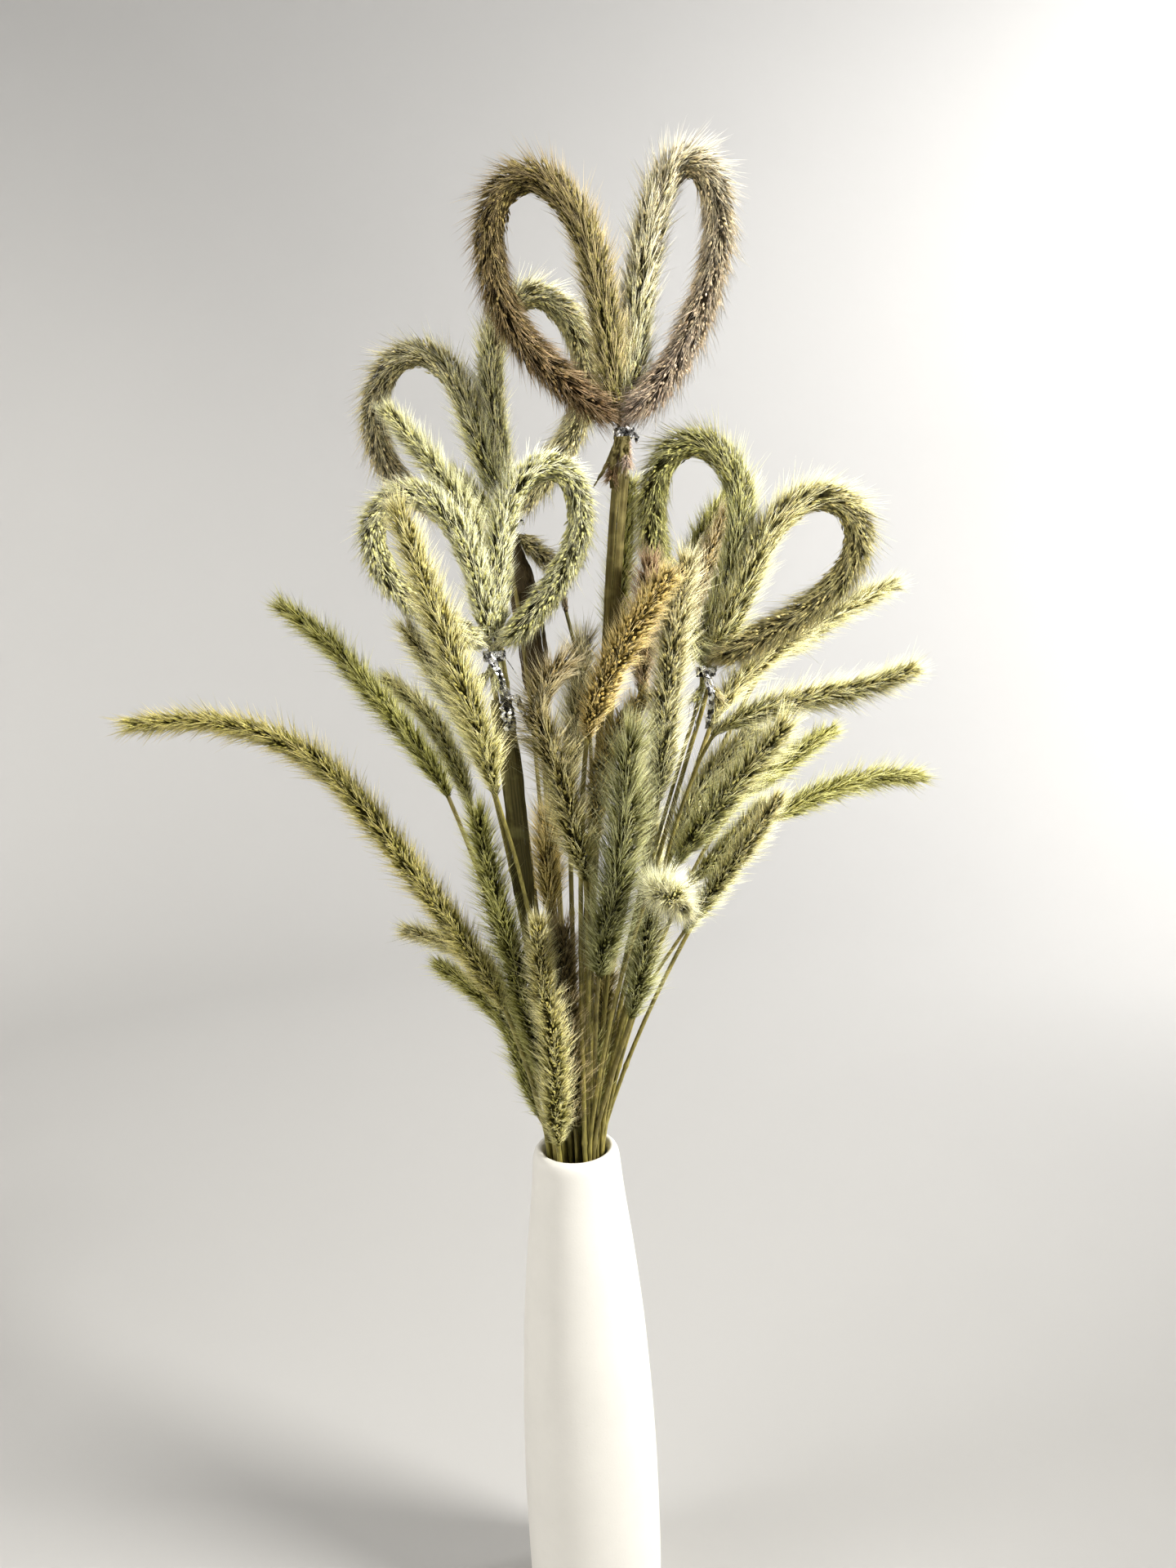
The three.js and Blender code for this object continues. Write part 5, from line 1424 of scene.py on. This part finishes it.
def sheath(name, colours):
    """A leaf folded round the front of two tied stems, ribbed, waved, split and torn at its ends."""
    looks = SimpleNamespace(**SHEATH_LOOKS[name])
    start_clear()
    bpy.ops.mesh.primitive_grid_add(x_subdivisions=SHEATH_ACROSS, y_subdivisions=SHEATH_ALONG, size=1)
    piece = shaped(f"{name}_look")
    draw = np.random.default_rng(list(SHEATHS).index(name) + 1)
    slit(piece, draw, looks.slits)
    points = np.array([vertex.co for vertex in piece.data.vertices])
    u, v = points[:, 0] + 0.5, points[:, 1] + 0.5
    line = stations(bouquet()[name])
    # Each lengthways strand ends at its own height, so that both ends are torn.
    strand = np.rint(u * SHEATH_ACROSS).astype(int)
    ends = np.convolve(draw.normal(0, TORN_SPREAD, SHEATH_ACROSS + 3), TORN_EASE, "valid")[strand]
    along = np.clip(v + ends * (2 * v - 1) * TORN_SHARE, 0, 1.02)
    frames = at_stations(line, along * line.s[-1])
    taper = 1 - looks.point * (1 - smooth((1.04 - v) / POINT_LENGTH) ** 0.7)
    taper *= FOOT_WIDTH + (1 - FOOT_WIDTH) * smooth(v / FOOT_LENGTH)
    notch = np.interp(v, np.linspace(0, 1, NOTCHES), draw.uniform(*NOTCH_WIDTHS, NOTCHES))
    angle = SHEATH_FROM + SHEATH_TURN * (0.5 + (u - 0.5) * np.clip(taper * notch, 0.05, 1))
    ribs = looks.ribs * np.cos(u * 2 * math.pi * BROAD_RIBS + 2.2 * np.sin(7 * u))
    ribs = ribs + FINE_RIB_HEIGHT * np.sin(u * 2 * math.pi * FINE_RIBS + 3 * v)
    wave = looks.waves * (np.sin(v * 9 + 2 * u) + 0.7 * np.sin(v * 23 + 5 * u) + 0.4 * np.sin(v * 47 - 9 * u))
    wide = bouquet()[name].reach[0] * looks.wide + ribs + wave * 0.5
    deep = looks.deep + ribs + wave
    place = frames.place + (frames.side * (wide * np.cos(angle))[:, None]
                            + frames.across * (deep * np.sin(angle))[:, None])
    piece.data.vertices.foreach_set("co", (place * MM).astype(np.float32).ravel())
    tie = np.array(HEARTS[SHEATHS[name]["heart"]]["tie"], float)
    parts = [piece, *(strip("shred", tie, path, SHRED_SEED + k) for k, path in enumerate(SHREDS.get(name, ())))]
    for part in parts:
        part.data.uv_layers[0].name = GROWTH
    piece = together(parts, f"{name}_look")
    thickened(piece, SHEATH_THICKNESS)
    piece.data.shade_smooth()
    pale = getattr(colours, f"leaf_{looks.leaf}_pale")
    piece.data.materials.append(leaf_material(looks.leaf, getattr(colours, f"leaf_{looks.leaf}"), pale))
    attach(piece, "root")
    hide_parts(name)
    return piece


# The stage, in metres: how far below the foot the floor lies, its sides, the radius of its upward sweep and
# the steps in it, and the height of the wall's top.

FLOOR_DROP = 0.0002
FLOOR_SIDES = 96
SWEEP_RADIUS = 0.9
SWEEP_STEPS = 10
WALL_TOP = 2.6
# Each lamp's place, target, size, colour and spread in degrees. Its power is a setting.
LAMPS = {
    "key": dict(place=(2.1, -0.8, 1.4), target=(0.02, 0, 0.5), size=0.8, colour=(1, 0.985, 0.95), spread=62),
    "fill": dict(place=(-1.3, -0.9, 0.9), target=(0, 0, 0.45), size=1.2, colour=(1, 0.97, 0.92), spread=90),
    "wall": dict(place=(1.9, 0.6, 1.5), target=(1.0, 2.2, 0.95), size=1.0, colour=(1, 1, 1), spread=150),
    "rear": dict(place=(-1.2, -0.5, 1.9), target=(-0.2, -2.2, 0.9), size=1.0, colour=(1, 1, 1), spread=150),
}
SKY_COLOUR = (1, 0.99, 0.97, 1)
CAMERA_PLACE = (0.0167, -0.616, 0.616)
CAMERA_PITCH = math.radians(9.5)
CAMERA_ROLL = math.radians(-2.6)
CAMERA_NEAR = 0.01
SENSOR_WIDTH = 36


def floor_material(colour):
    made, tree, shader = new_material("Pale floor", roughness=0.85)
    cloud = noise(tree, object_place(tree), scale=1.6, detail=3.0)
    joined(tree, mixed(tree, cloud, tinted(colour), tinted(colour, 0.95)), shader, "Base Color")
    return made


def stage_floor(settings):
    """A round pale floor whose rim sweeps up into a wall, so that it is behind the part in each view."""
    start_clear()
    at = radius = settings.floor_radius
    bpy.ops.mesh.primitive_circle_add(vertices=FLOOR_SIDES, radius=radius, fill_type="NGON",
                                      location=(0, 0, -FLOOR_DROP))
    bpy.ops.object.mode_set(mode="EDIT")
    bpy.ops.mesh.select_mode(type="EDGE")
    bpy.ops.mesh.select_all(action="SELECT")
    quarter = np.linspace(0, math.pi / 2, SWEEP_STEPS + 1)
    for turn, last in zip(quarter[1:], quarter):
        wider = radius + SWEEP_RADIUS * math.sin(turn)
        rise = SWEEP_RADIUS * (math.cos(last) - math.cos(turn))
        bpy.ops.mesh.extrude_edges_move(TRANSFORM_OT_translate={"value": (0, 0, rise)})
        bpy.ops.transform.resize(value=(wider / at, wider / at, 1), center_override=(0, 0, 0))
        at = wider
    bpy.ops.mesh.extrude_edges_move(TRANSFORM_OT_translate={"value": (0, 0, WALL_TOP - SWEEP_RADIUS)})
    floor = shaped("pale_floor")
    floor.data.shade_smooth()
    floor.data.materials.append(floor_material(settings.floor_colour))
    return floor


def lamp(name, power, place, target, size, colour, spread):
    start_clear()
    bpy.ops.object.light_add(type="AREA", location=place)
    light = bpy.context.object
    light.name = name
    light.rotation_euler = (Vector(target) - Vector(place)).to_track_quat("-Z", "Y").to_euler()
    light.data.shape = "SQUARE"
    light.data.size, light.data.energy, light.data.color = size, power, colour
    light.data.spread = math.radians(spread)
    light.visible_camera = False


def surroundings(strength):
    """Even light from all round."""
    world = bpy.data.worlds.new("Studio")
    world.use_nodes = True
    sky = world.node_tree.nodes["Background"]
    sky.inputs["Color"].default_value = SKY_COLOUR
    sky.inputs["Strength"].default_value = strength
    bpy.context.scene.world = world


def camera(lens):
    start_clear()
    bpy.ops.object.camera_add(location=CAMERA_PLACE)
    eye = bpy.context.object
    turned = Matrix.Rotation(math.pi / 2 - CAMERA_PITCH, 4, "X") @ Matrix.Rotation(CAMERA_ROLL, 4, "Z")
    eye.matrix_world = Matrix.Translation(CAMERA_PLACE) @ turned
    eye.data.lens, eye.data.sensor_width, eye.data.clip_start = lens, SENSOR_WIDTH, CAMERA_NEAR
    bpy.context.scene.camera = eye


# The add-on.

# Each kind of grass: the colours of its seeds, its bristles, both where they are ripe, and the bristles' tips.
GRASS_PARTS = {"seed": "seeds", "bristle": "bristles", "ripe": "ripe parts", "tip": "bristle tips"}
GRASSES = {
    "green": ((0.4, 0.4, 0.095), (0.68, 0.68, 0.25), (0.76, 0.61, 0.33), (0.96, 0.96, 0.82)),
    "pale": ((0.56, 0.54, 0.19), (0.88, 0.86, 0.46), (0.8, 0.68, 0.32), (1, 0.99, 0.88)),
    "golden": ((0.44, 0.41, 0.1), (0.68, 0.63, 0.22), (0.64, 0.49, 0.17), (1, 0.87, 0.6)),
    "brown": ((0.3, 0.29, 0.08), (0.46, 0.42, 0.165), (0.27, 0.165, 0.08), (1, 0.8, 0.58)),
    "tan": ((0.46, 0.42, 0.1), (0.73, 0.68, 0.25), (0.46, 0.34, 0.14), (1, 0.96, 0.8)),
    "dark": ((0.27, 0.27, 0.055), (0.48, 0.47, 0.12), (0.46, 0.41, 0.13), (0.95, 0.92, 0.58)),
}


def colour_setting(name, description, default):
    return bpy.props.FloatVectorProperty(name=name, description=description, default=default, subtype="COLOR",
                                         min=0, max=1)


def length_setting(name, description, default):
    return bpy.props.FloatProperty(name=name, description=description, default=default, min=0, unit="LENGTH",
                                   precision=5)


def number_setting(name, description, default, **kind):
    return bpy.props.FloatProperty(name=name, description=description, default=default, min=0, **kind)


class FoxtailGrass(bpy.types.PropertyGroup):
    """Sizes of the stems, seeds and bristles."""

    straw_radius: length_setting("Stem radius", "Radius of a stem at its foot", 0.00125)
    seed_length: length_setting("Seed length", "Length of one seed", 0.0041)
    seed_width: length_setting("Seed width", "Width of one seed", 0.0013)
    bristle_width: length_setting("Bristle width", "Width of one bristle at its root", 0.00036)
    seeds_per_mm: number_setting("Seeds", "Seeds on each millimetre of a head", 5.2)
    tufts_per_mm: number_setting("Tufts", "Bristle tufts on each millimetre of a head", 4.0)
    bristles_per_tuft: bpy.props.IntProperty(name="Bristles", description="Bristles in one tuft", default=6, min=1)
    lean: number_setting("Lean", "Angle between a bristle and its head", math.radians(40), subtype="ANGLE")


class FoxtailColours(bpy.types.PropertyGroup):
    """Colours of each kind of grass, young and ripe, and of the other finishes."""

    __annotations__ = {
        f"{grass}_{part}": colour_setting(f"{grass} {word}".capitalize(), f"{word} of the {grass} grass".capitalize(),
                                          tone)
        for grass, tones in GRASSES.items() for (part, word), tone in zip(GRASS_PARTS.items(), tones)}
    straw: colour_setting("Stems", "Colour of the young stems", (0.3, 0.28, 0.07))
    straw_ripe: colour_setting("Stems, ripe", "Colour of the ripe stems", (0.4, 0.33, 0.11))
    leaf_olive: colour_setting("Olive sheath", "Sheath below the top heart", (0.20, 0.165, 0.055))
    leaf_olive_pale: colour_setting("Olive sheath, pale", "Its pale patches", (0.42, 0.36, 0.15))
    leaf_brown: colour_setting("Brown sheath", "Sheath below the rear heart", (0.14, 0.105, 0.055))
    leaf_brown_pale: colour_setting("Brown sheath, pale", "Its pale patches", (0.30, 0.24, 0.14))
    leaf_dark: colour_setting("Dark sheath", "Sheath below the front heart", (0.16, 0.14, 0.05))
    leaf_dark_pale: colour_setting("Dark sheath, pale", "Its pale patches", (0.32, 0.3, 0.12))
    foil: colour_setting("Foil", "Colour of the foil ties", (0.80, 0.80, 0.80))
    ceramic: colour_setting("Vase", "Colour of the vase's glaze", (0.80, 0.78, 0.73))


class FoxtailVase(bpy.types.PropertyGroup):
    """Sizes of the vase and the foil."""

    vase_height: length_setting("Vase height", "Height of the vase", VASE_HEIGHT * MM)
    foil_thickness: length_setting("Foil thickness", "Thickness of the foil ties", 0.00018)


class FoxtailStage(bpy.types.PropertyGroup):
    """Floor, lamps and camera."""

    floor_radius: length_setting("Floor radius", "Radius of the flat floor", 1.3)
    floor_colour: colour_setting("Floor", "Colour of the floor and the wall", (0.53, 0.522, 0.508))
    key_power: number_setting("Key lamp", "Power of the lamp on the right", 43, unit="POWER")
    fill_power: number_setting("Fill lamp", "Power of the lamp on the left", 2, unit="POWER")
    wall_power: number_setting("Wall lamp", "Power of the lamp on the wall", 68, unit="POWER")
    rear_power: number_setting("Rear lamp", "Power of the lamp on the wall behind the camera", 26, unit="POWER")
    sky: number_setting("Surroundings", "Strength of the light from all round", 0.15)
    lens: number_setting("Lens", "Focal length", 26, unit="CAMERA")


SETTINGS = {"foxtail_grass": FoxtailGrass, "foxtail_colours": FoxtailColours, "foxtail_vase": FoxtailVase,
            "foxtail_stage": FoxtailStage}


def finished(pieces):
    """Ends a step, or stops the script with an error where a piece is missing or empty."""
    if not pieces or not all(len(piece.data.polygons) for piece in pieces):
        raise RuntimeError("a piece of this step is missing or empty")
    return {"FINISHED"}


def grow_all(start, settings):
    """Every stalk whose name starts so."""
    return [grow(name, settings) for name in bouquet() if name.startswith(start) and name not in SHEATHS]


class BOUQUET_OT_vase(bpy.types.Operator):
    """Draw up the ceramic vase"""

    bl_idname = "bouquet.vase"
    bl_label = "Vase"
    bl_options = {"REGISTER", "UNDO"}

    def execute(self, context):
        return finished([vase(context.scene.foxtail_vase, context.scene.foxtail_colours)])


class BOUQUET_OT_left_stalks(bpy.types.Operator):
    """Grow the stalks that lean to the left"""

    bl_idname = "bouquet.left_stalks"
    bl_label = "Left Stalks"
    bl_options = {"REGISTER", "UNDO"}

    def execute(self, context):
        return finished(grow_all("left", context.scene.foxtail_grass))


class BOUQUET_OT_centre_stalks(bpy.types.Operator):
    """Grow the stalks in the middle"""

    bl_idname = "bouquet.centre_stalks"
    bl_label = "Centre Stalks"
    bl_options = {"REGISTER", "UNDO"}

    def execute(self, context):
        return finished(grow_all("centre", context.scene.foxtail_grass))


class BOUQUET_OT_right_stalks(bpy.types.Operator):
    """Grow the stalks that lean to the right"""

    bl_idname = "bouquet.right_stalks"
    bl_label = "Right Stalks"
    bl_options = {"REGISTER", "UNDO"}

    def execute(self, context):
        return finished(grow_all("right", context.scene.foxtail_grass))


class BOUQUET_OT_hearts(bpy.types.Operator):
    """Grow the stalks that are bent round into hearts"""

    bl_idname = "bouquet.hearts"
    bl_label = "Hearts"
    bl_options = {"REGISTER", "UNDO"}

    def execute(self, context):
        return finished(grow_all("heart", context.scene.foxtail_grass))


class BOUQUET_OT_sheaths(bpy.types.Operator):
    """Fold dry leaf sheaths round the tied stems"""

    bl_idname = "bouquet.sheaths"
    bl_label = "Leaf Sheaths"
    bl_options = {"REGISTER", "UNDO"}

    def execute(self, context):
        return finished([sheath(name, context.scene.foxtail_colours) for name in SHEATHS])


class BOUQUET_OT_ties(bpy.types.Operator):
    """Tie the hearts with crumpled foil"""

    bl_idname = "bouquet.ties"
    bl_label = "Foil Ties"
    bl_options = {"REGISTER", "UNDO"}

    def execute(self, context):
        scene = context.scene
        return finished([foil_tie(heart, scene.foxtail_vase, scene.foxtail_colours) for heart in HEARTS])


class BOUQUET_OT_stage(bpy.types.Operator):
    """Set up the pale floor, the soft lamps and the camera"""

    bl_idname = "bouquet.stage"
    bl_label = "Stage"
    bl_options = {"REGISTER", "UNDO"}

    def execute(self, context):
        settings = context.scene.foxtail_stage
        floor = stage_floor(settings)
        for name, data in LAMPS.items():
            lamp(f"{name.capitalize()} lamp", getattr(settings, f"{name}_power"), **data)
        surroundings(settings.sky)
        camera(settings.lens)
        context.scene.view_settings.view_transform = "Standard"
        context.scene.view_settings.look = "Medium High Contrast"
        return finished([floor])


# The operators in the order in which they run.
STEPS = (BOUQUET_OT_vase, BOUQUET_OT_left_stalks, BOUQUET_OT_centre_stalks, BOUQUET_OT_right_stalks,
         BOUQUET_OT_hearts, BOUQUET_OT_sheaths, BOUQUET_OT_ties, BOUQUET_OT_stage)


class BOUQUET_PT_panel(bpy.types.Panel):
    """Lists the steps that build the bouquet, and its sizes and colours"""

    bl_label = "Foxtail Bouquet"
    bl_space_type = "VIEW_3D"
    bl_region_type = "UI"
    bl_category = "Bouquet"

    def draw(self, context):
        for step in STEPS:
            self.layout.operator(step.bl_idname)
        for group, kind in SETTINGS.items():
            box = self.layout.box()
            for name in kind.__annotations__:
                box.prop(getattr(context.scene, group), name)


CLASSES = (*SETTINGS.values(), *STEPS, BOUQUET_PT_panel)


def register():
    for one in CLASSES:
        bpy.utils.register_class(one)
    for name, kind in SETTINGS.items():
        setattr(bpy.types.Scene, name, bpy.props.PointerProperty(type=kind))


def unregister():
    for name in SETTINGS:
        delattr(bpy.types.Scene, name)
    for one in reversed(CLASSES):
        bpy.utils.unregister_class(one)


def main():
    register()
    for step in STEPS:
        getattr(bpy.ops.bouquet, step.bl_idname.removeprefix("bouquet."))()


if __name__ == "__main__":
    main()
